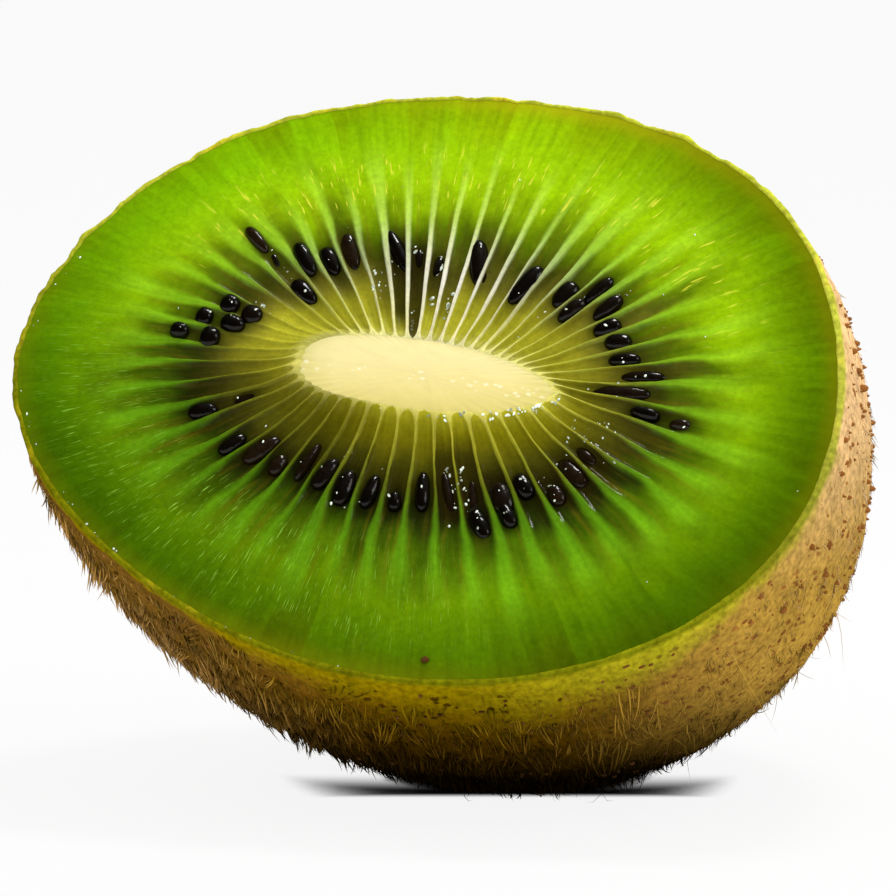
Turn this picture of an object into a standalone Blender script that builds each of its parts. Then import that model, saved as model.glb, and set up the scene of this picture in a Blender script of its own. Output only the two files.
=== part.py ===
"""Half of a furry green fruit, cut across near its middle and lying on its skin.

The half is one solid: skin, flesh, core and the seeds that show at the cut grow together.
The cut face looks towards -Y and up, and the skin rests on a small flat spot at z = 0.
A point "on the face" has x along the face's long axis, y up the slope and z out of the
face, measured from the face's centre. Rays are numbered anticlockwise from the right end,
and a share along a ray runs from 0 at the core to 1 at the skin.
"""

import math
import random

import bmesh
import bpy
from mathutils import Euler, Matrix, Vector

MM = 0.001

# Cut face: an egg-shaped oval, its outline a little uneven.
FACE_HALF_LENGTH = 27.0 * MM
FACE_HALF_WIDTH = 22.0 * MM
FACE_EGG = 0.107  # how much wider the right end is than the middle
FACE_LOBES = (  # swells round the outline: how many, share of the radius, degrees of the first crest
    (3, 0.0050, -34),
    (4, 0.0042, 151),
    (5, 0.0068, -106),
)
RIM_SINK = 0.2 * MM  # the flesh falls away this far where it meets the skin
RIM_START = 0.93  # share along a ray where that fall starts

# Body behind the cut.
BODY_DEPTH = 33.4 * MM
GIRTH_DEPTH = 5.4 * MM  # the fruit is thickest this far behind the cut
AXIS_LEAN = (0.073, 0.043)  # sections shift by this share of their depth, along x and y
SCAR_RINGS = (  # the stalk's scar at the far end: radius and how far it sinks in
    (2.9 * MM, 0.0 * MM),
    (2.5 * MM, -0.20 * MM),
    (2.0 * MM, 0.35 * MM),
)
SCAR_MIDDLE_SINK = 0.25 * MM

# How it lies.
FACE_TILT = 49.9  # degrees from lying flat with the face up
FACE_TURN = -7.7  # degrees, seen from the front: the long axis dips to the right
FACE_CENTRE = Vector((-0.41, -8.15, 27.42)) * MM  # above the middle of the footprint

# Core: a pale spindle, blunt on the left and more pointed on the right.
CORE_HALF_LENGTH = 8.6 * MM
CORE_HALF_WIDTH = 2.6 * MM
CORE_CENTRE = Vector((0.1, -0.1)) * MM
CORE_BLUNTNESS_RIGHT = 1.7  # exponents of a rounded outline, in which 2 is an ellipse
CORE_BLUNTNESS_LEFT = 3.0
CORE_RISE = 0.30 * MM

# Rays: thin walls from the core out to the skin, with a seed pocket between each two.
RAYS = 51
CORE_LEAVING = -6.9  # degrees: where the first ray leaves the core, as a share of a turn
CORE_CROWDING = ((1, 12.6, 19), (2, 6.0, -52))  # waves, degrees of swing, degrees of crest
RIM_ARRIVING = -4.3
RIM_CROWDING = ((1, 5.2, 7), (2, 5.6, 102))
POCKET_SINK = 0.45 * MM
POCKET_SHARES = (0.02, 0.14, 0.36, 0.52)  # starts, is deepest from and to, ends

# Seeds: flattened drops in the pockets, each lying along its pocket.
SEEDS_IN_POCKETS = (  # for each pocket in turn: how far out its seeds lie, in hundredths of the ray
    "25 34 30 31 31 36 28+39 32 . 30 . . 35 . 32 35 38 . 40 37 40 27+45+55 . . 29+38 31+42 35+46 . . . "
    "21+37 . 37 32 34 28 30 33 32 34 29 28 30+41 32+39 29 35 29 25 . . 33+46"
)
SEED_HALF_LENGTH = 1.3 * MM
SEED_HALF_WIDTH = 0.58 * MM
SEED_HALF_HEIGHT = 0.58 * MM
SEED_SINK = 0.08 * MM  # a seed's middle lies this far below its pocket's floor
SEED_SIZE_SPREAD = 0.16
SEED_SIDE_SHORTENING = 0.34  # seeds at the face's two ends are shorter by this share
SEED_DRAW = 11

# Mesh fineness.
STEPS_PER_RAY = 3
STEPS = RAYS * STEPS_PER_RAY
CORE_SAMPLES = 1440
DEPTH_RINGS = 12
FACE_SHARES = (0.985, 0.955, 0.80, 0.64, 0.52, 0.44, 0.36, 0.25, 0.14, 0.07, 0.02, 0.0)
CORE_SHRINK = (0.82, 0.45)
SEED_SIDES = 6
SEED_RINGS = 4


def remove_everything():
    """Empties the scene."""
    for item in list(bpy.data.objects):
        bpy.data.objects.remove(item)


def smooth(low, high, value):
    """Rises gently from 0 at low to 1 at high."""
    t = min(max((value - low) / (high - low), 0.0), 1.0)
    return t * t * (3 - 2 * t)


def rim_point(angle, lobing=1.0):
    """Point of the face's outline at an angle, its lobes weakened by lobing."""
    swell = 1 + lobing * sum(
        size * math.cos(count * angle - math.radians(crest)) for count, size, crest in FACE_LOBES
    )
    x = FACE_HALF_LENGTH * math.cos(angle) * swell
    y = FACE_HALF_WIDTH * math.sin(angle) * swell * (1 + FACE_EGG * math.cos(angle))
    return Vector((x, y))


def girth(depth):
    """Size of the section at a depth behind the cut, as a share of the face."""
    reach = BODY_DEPTH - GIRTH_DEPTH
    here = 1 - ((depth - GIRTH_DEPTH) / reach) ** 2
    at_face = 1 - (GIRTH_DEPTH / reach) ** 2
    return math.sqrt(max(here, 0.0) / at_face)


def depth_of_girth(size):
    """Depth behind the thickest part at which the section has a size."""
    reach = BODY_DEPTH - GIRTH_DEPTH
    at_face = 1 - (GIRTH_DEPTH / reach) ** 2
    return GIRTH_DEPTH + reach * math.sqrt(1 - size**2 * at_face)


def skin_point(angle, depth, sink=0.0):
    """Point of the skin at an outline angle and a depth behind the cut, sunk in a little."""
    flat = rim_point(angle, 1 - depth / BODY_DEPTH) * girth(depth)
    lean = Vector(AXIS_LEAN) * depth
    return Vector((flat.x + lean.x, flat.y + lean.y, sink - depth))


def core_outline_point(angle):
    """Point of the core's outline: two rounded halves, one blunter than the other."""
    blunt = CORE_BLUNTNESS_RIGHT if math.cos(angle) > 0 else CORE_BLUNTNESS_LEFT
    x = math.copysign(abs(math.cos(angle)) ** (2 / blunt), math.cos(angle))
    y = math.copysign(abs(math.sin(angle)) ** (2 / blunt), math.sin(angle))
    return CORE_CENTRE + Vector((CORE_HALF_LENGTH * x, CORE_HALF_WIDTH * y))


def core_walk():
    """Points of the core's outline and the distance walked to each from the right tip."""
    points = [core_outline_point(2 * math.pi * k / CORE_SAMPLES) for k in range(CORE_SAMPLES + 1)]
    walked = [0.0]
    for before, after in zip(points, points[1:]):
        walked.append(walked[-1] + (after - before).length)
    return points, walked


CORE_POINTS, CORE_WALKED = core_walk()


def crowded(ray, start, waves):
    """Degrees round the face for a ray's number: even spacing, bunched by a few waves."""
    even = 360 * ray / RAYS
    swing = sum(
        size * math.cos(math.radians(count * even - crest)) for count, size, crest in waves
    )
    return even + start + swing


def core_point(ray):
    """Where a ray leaves the core, found by walking round the core's outline."""
    share = crowded(ray, CORE_LEAVING, CORE_CROWDING) / 360 % 1
    goal = share * CORE_WALKED[-1]
    low, high = 0, CORE_SAMPLES
    while high - low > 1:
        middle = (low + high) // 2
        if CORE_WALKED[middle] <= goal:
            low = middle
        else:
            high = middle
    part = (goal - CORE_WALKED[low]) / (CORE_WALKED[high] - CORE_WALKED[low])
    return CORE_POINTS[low].lerp(CORE_POINTS[high], part)


def rim_angle(ray):
    """Outline angle where a ray reaches the skin."""
    return math.radians(crowded(ray, RIM_ARRIVING, RIM_CROWDING))


def ray_point(ray, share):
    """Point on a ray, a share of the way from the core to the skin."""
    return core_point(ray).lerp(rim_point(rim_angle(ray)), share)


def pocket_depth(share):
    """How hollow a seed pocket is at a share along its rays."""
    start, deep_from, deep_to, end = POCKET_SHARES
    return POCKET_SINK * smooth(start, deep_from, share) * (1 - smooth(deep_to, end, share))


def face_height(share, on_wall):
    """Height of the cut face at a share along a ray."""
    height = CORE_RISE * (1 - smooth(0.0, POCKET_SHARES[1], share))
    height -= RIM_SINK * smooth(RIM_START, 1.0, share)
    if not on_wall:
        height -= pocket_depth(share)
    return height


def extrude_loop(mesh, edges, places):
    """Extrudes a closed loop of edges and returns the new edges, its corners at their places."""
    loop = bmesh.ops.extrude_edge_only(mesh, edges=edges)["geom"]
    corners = [part for part in loop if isinstance(part, bmesh.types.BMVert)]
    steps = mesh.verts.layers.int["step"]
    for corner in corners:
        corner.co = places[corner[steps]]
    rim = set(corners)
    return [
        part for part in loop if isinstance(part, bmesh.types.BMEdge) and set(part.verts) <= rim
    ]


def close_loop(mesh, edges, place):
    """Extrudes a closed loop of edges once more and draws it together at one place."""
    last = extrude_loop(mesh, edges, [place] * len(edges))
    corners = list({corner for edge in last for corner in edge.verts})
    bmesh.ops.pointmerge(mesh, verts=corners, merge_co=place)


def add_face(mesh, edges):
    """The cut face, from the skin's rim inwards over the pockets and the core."""
    for share in FACE_SHARES:
        places = []
        for step in range(STEPS):
            flat = ray_point(step / STEPS_PER_RAY, share)
            places.append(flat.to_3d() + Vector((0, 0, face_height(share, step % STEPS_PER_RAY == 0))))
        edges = extrude_loop(mesh, edges, places)
    for shrink in CORE_SHRINK:
        places = []
        for step in range(STEPS):
            flat = CORE_CENTRE + (core_point(step / STEPS_PER_RAY) - CORE_CENTRE) * shrink
            places.append(flat.to_3d() + Vector((0, 0, CORE_RISE)))
        edges = extrude_loop(mesh, edges, places)
    close_loop(mesh, edges, CORE_CENTRE.to_3d() + Vector((0, 0, CORE_RISE)))


def add_body(mesh, edges):
    """The skin behind the cut, in rings that close up to the stalk's scar."""
    angles = [rim_angle(step / STEPS_PER_RAY) for step in range(STEPS)]
    for ring in range(1, DEPTH_RINGS):
        depth = BODY_DEPTH * math.sin(0.5 * math.pi * ring / DEPTH_RINGS)
        edges = extrude_loop(mesh, edges, [skin_point(angle, depth) for angle in angles])
    for radius, sink in SCAR_RINGS:
        places = []
        for angle in angles:
            depth = depth_of_girth(radius / rim_point(angle).length)
            places.append(skin_point(angle, depth, sink))
        edges = extrude_loop(mesh, edges, places)
    close_loop(mesh, edges, skin_point(0.0, BODY_DEPTH, SCAR_MIDDLE_SINK))


def half_fruit():
    """The half without its seeds, as a closed mesh in face coordinates."""
    mesh = bmesh.new()
    steps = mesh.verts.layers.int.new("step")
    bmesh.ops.create_circle(mesh, segments=STEPS, radius=FACE_HALF_WIDTH)
    for step, corner in enumerate(mesh.verts):
        corner[steps] = step
        corner.co = rim_point(rim_angle(step / STEPS_PER_RAY)).to_3d() - Vector((0, 0, RIM_SINK))
    rim = list(mesh.edges)
    add_face(mesh, rim)
    add_body(mesh, rim)
    bmesh.ops.recalc_face_normals(mesh, faces=mesh.faces)
    return mesh


def to_place():
    """Matrix from face coordinates to where the half lies."""
    turn = Euler((math.radians(FACE_TILT), 0, 0)).to_matrix().to_4x4()
    spin = Matrix.Rotation(math.radians(FACE_TURN), 4, "Z")
    return Matrix.Translation(FACE_CENTRE) @ turn @ spin


def flatten_underside(mesh):
    """Cuts the skin off level where it would reach below the surface it rests on."""
    everything = [*mesh.verts, *mesh.edges, *mesh.faces]
    cut = bmesh.ops.bisect_plane(
        mesh, geom=everything, plane_co=(0, 0, 0), plane_no=(0, 0, -1), clear_outer=True
    )
    edges = [part for part in cut["geom_cut"] if isinstance(part, bmesh.types.BMEdge)]
    bmesh.ops.edgeloop_fill(mesh, edges=edges)
    bmesh.ops.recalc_face_normals(mesh, faces=mesh.faces)


def seed_places():
    """Ray number, share and size of each seed, from SEEDS_IN_POCKETS."""
    draw = random.Random(SEED_DRAW)
    for pocket, places in enumerate(SEEDS_IN_POCKETS.split()):
        shortening = SEED_SIDE_SHORTENING * math.cos(2 * math.pi * pocket / RAYS) ** 2
        for hundredths in places.replace(".", "").split("+"):
            if hundredths:
                size = 1 - shortening + draw.uniform(-SEED_SIZE_SPREAD, SEED_SIZE_SPREAD)
                yield pocket + 0.5, int(hundredths) / 100, size


def add_seed(name, ray, share, size, home):
    """One seed, as its own object until it is fused."""
    mesh = bmesh.new()
    bmesh.ops.create_uvsphere(mesh, u_segments=SEED_SIDES, v_segments=SEED_RINGS, radius=1)
    along = ray_point(ray, 1.0) - ray_point(ray, 0.0)
    flat = ray_point(ray, share)
    height = face_height(share, False) - SEED_SINK
    turn = Matrix.Rotation(math.atan2(along.y, along.x), 4, "Z")
    lie_down = Matrix.Rotation(math.radians(90), 4, "Y")
    scale = Matrix.Diagonal((SEED_HALF_LENGTH * size, SEED_HALF_WIDTH, SEED_HALF_HEIGHT, 1))
    place = Matrix.Translation(flat.to_3d() + Vector((0, 0, height)))
    bmesh.ops.transform(mesh, matrix=to_place() @ place @ turn @ scale @ lie_down, verts=mesh.verts)
    data = bpy.data.meshes.new(name)
    mesh.to_mesh(data)
    mesh.free()
    home.objects.link(bpy.data.objects.new(name, data))


def fuse(body, home):
    """Joins everything in a collection to the body, then removes the collection's objects."""
    union = body.modifiers.new("seeds", "BOOLEAN")
    union.operation = "UNION"
    union.solver = "EXACT"
    union.operand_type = "COLLECTION"
    union.collection = home
    bpy.context.view_layer.update()
    evaluated = body.evaluated_get(bpy.context.evaluated_depsgraph_get())
    fused = bpy.data.meshes.new_from_object(evaluated)
    body.modifiers.clear()
    body.data = fused
    for item in list(home.objects):
        bpy.data.objects.remove(item)
    bpy.data.collections.remove(home)


def fruit_material():
    """Wet green flesh, the colour of most of what shows."""
    material = bpy.data.materials.new("green_flesh")
    material.use_nodes = True
    shader = material.node_tree.nodes["Principled BSDF"]
    shader.inputs["Base Color"].default_value = (0.28, 0.50, 0.02, 1)
    shader.inputs["Roughness"].default_value = 0.35
    shader.inputs["Metallic"].default_value = 0.0
    return material


def make_half():
    """The half fruit with its seeds, one closed body."""
    mesh = half_fruit()
    bmesh.ops.transform(mesh, matrix=to_place(), verts=mesh.verts)
    flatten_underside(mesh)
    data = bpy.data.meshes.new("kiwi_half")
    mesh.to_mesh(data)
    mesh.free()
    body = bpy.data.objects.new("kiwi_half", data)
    bpy.context.scene.collection.objects.link(body)
    home = bpy.data.collections.new("seeds")
    bpy.context.scene.collection.children.link(home)
    for number, (ray, share, size) in enumerate(seed_places()):
        add_seed(f"seed_{number}", ray, share, size, home)
    fuse(body, home)
    body.data.materials.clear()
    body.data.materials.append(fruit_material())
    body.data.shade_smooth()
    body.data.set_sharp_from_angle(angle=math.radians(50))
    return body


def main():
    """Clears the scene and makes the half fruit."""
    remove_everything()
    make_half()


if __name__ == "__main__":
    main()
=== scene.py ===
"""Looks of a halved kiwi fruit: wet green flesh with pale rays, cream core, dark seeds and a furry skin.

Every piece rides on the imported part's one body and together they replace its one node, kiwi_half.
The sizes that shape the fruit are the same as in the part's source. A point "on the face" has
x along the cut face's long axis, y up its slope and z out of it. Rays are numbered
anticlockwise from the right end of the core, and a share along a ray runs from 0 at the core
to 1 at the skin.
"""

import math
import random

import bmesh
import bpy
import numpy as np
from mathutils import Euler, Matrix, Vector, kdtree, noise


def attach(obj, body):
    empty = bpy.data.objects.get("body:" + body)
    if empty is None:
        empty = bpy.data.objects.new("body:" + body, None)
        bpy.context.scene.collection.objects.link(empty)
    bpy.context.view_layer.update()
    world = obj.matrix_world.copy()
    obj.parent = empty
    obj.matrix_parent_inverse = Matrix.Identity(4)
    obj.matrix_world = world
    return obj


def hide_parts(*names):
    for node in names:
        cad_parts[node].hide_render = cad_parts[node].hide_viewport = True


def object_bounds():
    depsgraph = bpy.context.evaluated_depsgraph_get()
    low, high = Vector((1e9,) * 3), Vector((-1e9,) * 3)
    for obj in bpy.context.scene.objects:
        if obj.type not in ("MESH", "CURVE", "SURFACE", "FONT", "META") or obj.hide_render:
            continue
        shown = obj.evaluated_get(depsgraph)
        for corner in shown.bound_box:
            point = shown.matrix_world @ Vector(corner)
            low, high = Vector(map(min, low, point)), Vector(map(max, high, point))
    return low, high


bl_info = {
    "name": "Halved kiwi fruit",
    "version": (1, 0, 0),
    "blender": (4, 5, 0),
    "location": "3D View > Sidebar > Kiwi",
    "description": "Dresses a halved kiwi fruit with flesh, core, seeds, skin, hairs and juice",
    "category": "Add Mesh",
}

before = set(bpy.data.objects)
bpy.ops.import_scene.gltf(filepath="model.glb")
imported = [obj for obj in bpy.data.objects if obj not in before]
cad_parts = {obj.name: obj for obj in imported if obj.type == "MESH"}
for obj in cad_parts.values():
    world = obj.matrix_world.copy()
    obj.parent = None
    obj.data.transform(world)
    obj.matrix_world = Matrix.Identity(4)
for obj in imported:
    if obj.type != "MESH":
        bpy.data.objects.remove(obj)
CAD_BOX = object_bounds()

MM = 0.001

# Cut face.
FACE_HALF_LENGTH = 27.0 * MM
FACE_HALF_WIDTH = 22.0 * MM
FACE_EGG = 0.107  # how much wider the right end is than the middle
FACE_LOBES = (  # swells round the outline: how many, share of the radius, degrees of the first crest
    (3, 0.0050, -34),
    (4, 0.0042, 151),
    (5, 0.0068, -106),
)
RIM_SINK = 0.2 * MM  # how far the face falls off at its rim
RIM_START = 0.93  # share along a ray where it starts to fall
RIM_DROP_DEPTH = 4.0 * MM  # how far down the skin lies lower with the rim
TORN_DEPTH = 3.0 * MM  # how far down the skin its torn edge shows
TEARS = 9  # how many small tears there are for each radian round the rim

# Body behind the cut.
BODY_DEPTH = 33.4 * MM
GIRTH_DEPTH = 5.4 * MM
AXIS_LEAN = (0.073, 0.043)

# How it lies.
FACE_TILT = 49.9
FACE_TURN = -7.7
FACE_CENTRE = Vector((-0.41, -8.15, 27.42)) * MM

# Core.
CORE_HALF_LENGTH = 8.6 * MM
CORE_HALF_WIDTH = 2.6 * MM
CORE_CENTRE = np.array((0.1, -0.1)) * MM
CORE_BLUNTNESS_RIGHT = 1.7
CORE_BLUNTNESS_LEFT = 3.0
CORE_RISE = 0.30 * MM

# Rays.
RAYS = 51
CORE_LEAVING = -6.9
CORE_CROWDING = ((1, 12.6, 19), (2, 6.0, -52))
RIM_ARRIVING = -4.3
RIM_CROWDING = ((1, 5.2, 7), (2, 5.6, 102))
POCKET_SHARES = (0.02, 0.14, 0.36, 0.52)

FLESH_EXPOSURE = 0.8  # the studio light brightens the flesh by about a quarter

# Wandering of the rays and of their walls.
WAY_WAVES = ((7.0, 1.0), (17.0, 0.5))  # how fast each wave runs along a ray, and its share
# Share along a ray, and half the width of a wall there, in rays.
WALL_HALF_WIDTHS = (
    (0.0, 0.50), (0.006, 0.30), (0.018, 0.18), (0.035, 0.11), (0.06, 0.075), (0.20, 0.060),
    (0.30, 0.070), (0.40, 0.10), (0.50, 0.14), (0.60, 0.18), (0.72, 0.24), (0.85, 0.32),
)
# The same for the pale walls at the top, which stay narrow far out.
PALE_HALF_WIDTHS = (
    (0.0, 0.50), (0.006, 0.32), (0.018, 0.21), (0.035, 0.15), (0.06, 0.115), (0.30, 0.12),
    (0.45, 0.10), (0.62, 0.10), (0.74, 0.14), (0.88, 0.30),
)
PALE_MIDDLE = 13.6  # ray number in the middle of the pale walls
PALE_SPREAD = 4.6
# By ray number: how far its wall fades by the core.
FADED_WALLS = {21: 0.2, 22: 0.5, 23: 0.9, 24: 0.95, 25: 0.95, 26: 0.85, 27: 0.55, 28: 0.25}
FADE_END = (0.28, 0.42)  # shares between which a faded wall comes back
COLUMN_PLACES = (0.0, 0.04, 0.08, 0.13, 0.21, 0.34, 0.5, 0.66, 0.79, 0.87, 0.92, 0.96)  # within a ray

# Seeds, as in the part's source.
SEEDS_IN_POCKETS = (  # for each pocket in turn: how far out its seeds lie, in hundredths of the ray
    "25 34 30 31 31 36 28+39 32 . 30 . . 35 . 32 35 38 . 40 37 40 27+45+55 . . 29+38 31+42 35+46 . . . "
    "21+37 . 37 32 34 28 30 33 32 34 29 28 30+41 32+39 29 35 29 25 . . 33+46"
)
SEED_SIZE_SPREAD = 0.16
SEED_SIDE_SHORTENING = 0.34  # seeds at the face's two ends are shorter by this share
SEED_DRAW = 11
# By pocket and place: share of the usual length and width, millimetres more sunk, and brownness.
SEED_LOOKS = {
    (0, 25): (2.3, 1.0, 0.15, 0.8), (1, 34): (1.7, 0.9, 0.1, 0.6), (2, 30): (1.0, 1.1, 0.0, 0.3),
    (3, 31): (1.0, 1.25, 0.0, 0.4), (4, 31): (1.0, 1.25, 0.0, 0.3), (5, 36): (1.15, 1.05, 0.0, 0.5),
    (6, 28): (1.2, 1.0, 0.0, 0.5), (6, 39): (1.2, 1.0, 0.0, 0.4), (7, 32): (0.95, 1.1, 0.0, 0.3),
    (9, 30): (1.25, 1.1, 0.0, 0.2), (12, 35): (1.6, 1.35, -0.05, 0.4), (14, 32): (0.8, 0.7, 0.5, 0.5),
    (15, 35): (0.9, 0.7, 0.5, 0.5), (16, 38): (1.4, 1.0, 0.15, 0.1), (18, 40): (1.3, 1.1, 0.1, 1.0),
    (19, 37): (1.3, 1.1, 0.0, 0.2), (20, 40): (1.15, 1.15, 0.0, 0.1), (21, 45): (0.7, 0.6, 0.6, 0.6),
    (21, 55): (1.2, 0.95, 0.05, 1.0), (24, 29): (1.0, 1.25, 0.1, 0.5), (24, 38): (0.95, 1.2, 0.0, 0.1),
    (25, 31): (0.95, 1.35, 0.0, 0.1), (25, 42): (0.85, 1.25, 0.0, 0.1), (26, 35): (0.9, 1.35, 0.0, 0.1),
    (26, 46): (0.85, 1.1, 0.0, 0.1), (30, 21): (1.1, 0.9, 0.3, 1.0), (30, 37): (1.0, 1.05, 0.0, 0.3),
    (33, 32): (1.1, 1.15, 0.05, 1.0), (34, 34): (0.7, 0.85, 0.05, 0.9), (35, 28): (1.2, 0.7, 0.05, 0.8),
    (36, 30): (1.0, 1.1, 0.0, 0.5), (39, 34): (0.6, 0.95, 0.0, 0.1), (41, 28): (1.3, 0.8, 0.4, 0.9),
    (42, 30): (1.2, 0.8, 0.4, 0.9), (43, 32): (1.1, 1.2, 0.0, 0.6), (45, 35): (1.0, 1.0, 0.2, 0.9),
    (46, 29): (1.2, 1.2, 0.15, 0.95), (47, 25): (1.0, 1.0, 0.4, 1.0), (50, 46): (0.9, 0.9, 0.35, 1.0),
}
SEED_USUAL = (1.0, 1.0, 0.0, 0.0)

# Pockets with brown gel: from and to which share of the ray, and how brown.
MURKY_POCKETS = {
    0: (0.14, 0.38, 0.8), 1: (0.26, 0.46, 0.6), 8: (0.24, 0.42, 0.5), 10: (0.18, 0.40, 0.4),
    11: (0.20, 0.45, 0.5), 13: (0.10, 0.36, 0.7), 14: (0.14, 0.40, 0.9), 15: (-0.1, 0.44, 1.0),
    16: (0.05, 0.46, 1.0), 17: (0.10, 0.44, 0.55), 18: (0.26, 0.50, 0.65), 19: (0.20, 0.46, 0.7),
    20: (0.24, 0.45, 0.4), 21: (0.22, 0.56, 0.4), 22: (0.22, 0.46, 0.55), 23: (0.24, 0.44, 0.5),
    28: (0.10, 0.42, 0.4), 29: (0.10, 0.42, 0.5), 30: (0.14, 0.44, 0.5), 31: (0.14, 0.32, 0.4),
    34: (0.25, 0.42, 0.4), 35: (0.15, 0.40, 0.4), 36: (0.18, 0.40, 0.5), 37: (0.14, 0.40, 0.4),
    38: (0.16, 0.42, 0.4), 39: (0.14, 0.40, 0.5), 41: (0.08, 0.44, 0.85), 42: (0.08, 0.48, 0.8),
    43: (0.18, 0.44, 0.8), 44: (0.22, 0.38, 0.5), 45: (0.22, 0.42, 0.8), 46: (0.16, 0.40, 0.85),
    47: (0.20, 0.38, 0.8), 49: (0.14, 0.42, 0.4), 50: (0.24, 0.50, 0.6),
}
# Drops of juice, painted as glints: ray and its spread, share and its spread, how many, and how large.
JUICE_GLINTS = (
    (13.35, 0.1, 0.19, 0.05, 6, 1.0), (14.45, 0.1, 0.27, 0.06, 8, 1.0), (15.6, 0.1, 0.10, 0.05, 8, 0.5),
    (15.7, 0.1, 0.38, 0.03, 3, 0.9), (16.7, 0.1, 0.34, 0.04, 5, 0.9), (17.7, 0.15, 0.28, 0.05, 9, 0.8),
    (19.4, 0.1, 0.40, 0.02, 3, 1.3), (21.6, 0.1, 0.36, 0.02, 5, 0.8), (23.7, 0.1, 0.30, 0.04, 5, 0.9),
    (35.5, 0.1, 0.30, 0.04, 4, 0.6), (36.9, 0.2, 0.20, 0.06, 8, 0.45), (41.6, 0.12, 0.28, 0.07, 16, 0.7),
    (42.3, 0.12, 0.30, 0.08, 18, 0.75), (45.5, 0.15, 0.34, 0.03, 8, 0.65), (48.2, 0.4, 0.21, 0.07, 26, 0.5),
    (49.3, 0.2, 0.25, 0.06, 10, 0.5), (0.6, 0.2, 0.26, 0.04, 12, 0.55), (1.6, 0.2, 0.38, 0.03, 8, 0.65),
    (5.6, 0.1, 0.42, 0.03, 6, 0.45), (6.4, 0.15, 0.32, 0.05, 8, 0.55), (7.7, 0.2, 0.20, 0.06, 6, 0.4),
    (46.0, 2.6, 0.012, 0.012, 50, 0.7), (30.0, 4.0, 0.978, 0.008, 60, 0.6), (25.0, 20.0, 0.60, 0.22, 30, 0.4),
)

# Heights above the floor between which the core turns from cream to yellow.
CORE_LIGHT_ABOVE = 28.5 * MM
CORE_YELLOW_BELOW = 25.5 * MM


def smooth(low, high, value):
    """Rises gently from 0 at low to 1 at high."""
    part = np.clip((value - low) / (high - low), 0.0, 1.0)
    return part * part * (3 - 2 * part)


def linear(code):
    """Linear colour with full alpha from an sRGB hex code."""
    parts = [int(code[start : start + 2], 16) / 255 for start in (1, 3, 5)]
    curved = [part / 12.92 if part <= 0.04045 else ((part + 0.055) / 1.055) ** 2.4 for part in parts]
    return (*curved, 1.0)


def rim_points(angle, lobing=1.0):
    """Points of the face's outline at some angles, its lobes weakened by lobing."""
    swell = 1 + lobing * sum(
        size * np.cos(count * angle - math.radians(crest)) for count, size, crest in FACE_LOBES
    )
    x = FACE_HALF_LENGTH * np.cos(angle) * swell
    y = FACE_HALF_WIDTH * np.sin(angle) * swell * (1 + FACE_EGG * np.cos(angle))
    return np.stack([x, y], axis=-1)


def girth(depth):
    """Size of the section at a depth behind the cut, as a share of the face."""
    reach = BODY_DEPTH - GIRTH_DEPTH
    here = 1 - ((depth - GIRTH_DEPTH) / reach) ** 2
    at_face = 1 - (GIRTH_DEPTH / reach) ** 2
    return np.sqrt(np.maximum(here, 0.0) / at_face)


def depth_at(share):
    """Depth behind the cut at a share of the way from the cut to the far end."""
    return BODY_DEPTH * np.sin(0.5 * math.pi * share)


def rim_drop(depth):
    """How far the skin lies below its plain form by the cut."""
    return RIM_SINK * (1 - smooth(0.0, RIM_DROP_DEPTH, depth))


def skin_points(angle, depth, inset=0.0):
    """Points of the skin at outline angles and depths behind the cut, or inside it by an inset."""
    flat = rim_points(angle, 1 - depth / BODY_DEPTH) * girth(depth)[:, None]
    flat *= (1 - inset / FACE_HALF_WIDTH * np.ones(len(depth)))[:, None]
    down = -depth * (1 - np.maximum(inset, 0.0) / BODY_DEPTH)
    return np.concatenate([flat + depth[:, None] * AXIS_LEAN, down[:, None]], axis=-1)


def core_outline():
    """Points of the core's outline and the distance walked to each from the right tip."""
    angle = np.linspace(0, 2 * math.pi, 1441)
    blunt = np.where(np.cos(angle) > 0, CORE_BLUNTNESS_RIGHT, CORE_BLUNTNESS_LEFT)
    x = np.sign(np.cos(angle)) * np.abs(np.cos(angle)) ** (2 / blunt)
    y = np.sign(np.sin(angle)) * np.abs(np.sin(angle)) ** (2 / blunt)
    points = CORE_CENTRE + np.stack([CORE_HALF_LENGTH * x, CORE_HALF_WIDTH * y], axis=-1)
    steps = np.linalg.norm(np.diff(points, axis=0), axis=1)
    return points, np.concatenate([[0.0], np.cumsum(steps)])


CORE_POINTS, CORE_WALKED = core_outline()


def crowded(ray, start, waves):
    """Degrees round the face for a ray's number: even spacing, bunched by a few waves."""
    even = 360 * ray / RAYS
    return even + start + sum(
        size * np.cos(np.radians(count * even - crest)) for count, size, crest in waves
    )


def core_points(ray):
    """Where rays leave the core."""
    goal = crowded(ray, CORE_LEAVING, CORE_CROWDING) / 360 % 1 * CORE_WALKED[-1]
    return np.stack([np.interp(goal, CORE_WALKED, CORE_POINTS[:, axis]) for axis in (0, 1)], axis=-1)


def rim_angles(ray):
    """Outline angles where rays reach the skin."""
    return np.radians(crowded(ray, RIM_ARRIVING, RIM_CROWDING))


def wander(ray, share, sizes):
    """How far the rays bend sideways, in rays: each in its own way, the pale ones less."""
    draw = np.random.default_rng(sizes.draw)
    phases = draw.uniform(0, 2 * math.pi, (RAYS, len(WAY_WAVES)))
    before = np.floor(ray).astype(int)
    part = ray - before

    def bend(which):
        own = phases[which % RAYS]
        return sum(
            size * np.sin(pace * share + own[:, number])
            for number, (pace, size) in enumerate(WAY_WAVES)
        )

    both = bend(before) * (1 - part) + bend(before + 1) * part
    bendy = sizes.ray_wander * (1 - 0.7 * paleness(ray))
    return bendy * both * smooth(0.0, 0.15, share) * (1 - smooth(0.7, 1.0, share))


def ray_points(ray, share, sizes):
    """Points on the face at ray numbers and shares along them."""
    bent = ray + wander(ray, share, sizes)
    core = core_points(bent)
    return core + (rim_points(rim_angles(bent)) - core) * share[:, None]


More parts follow.
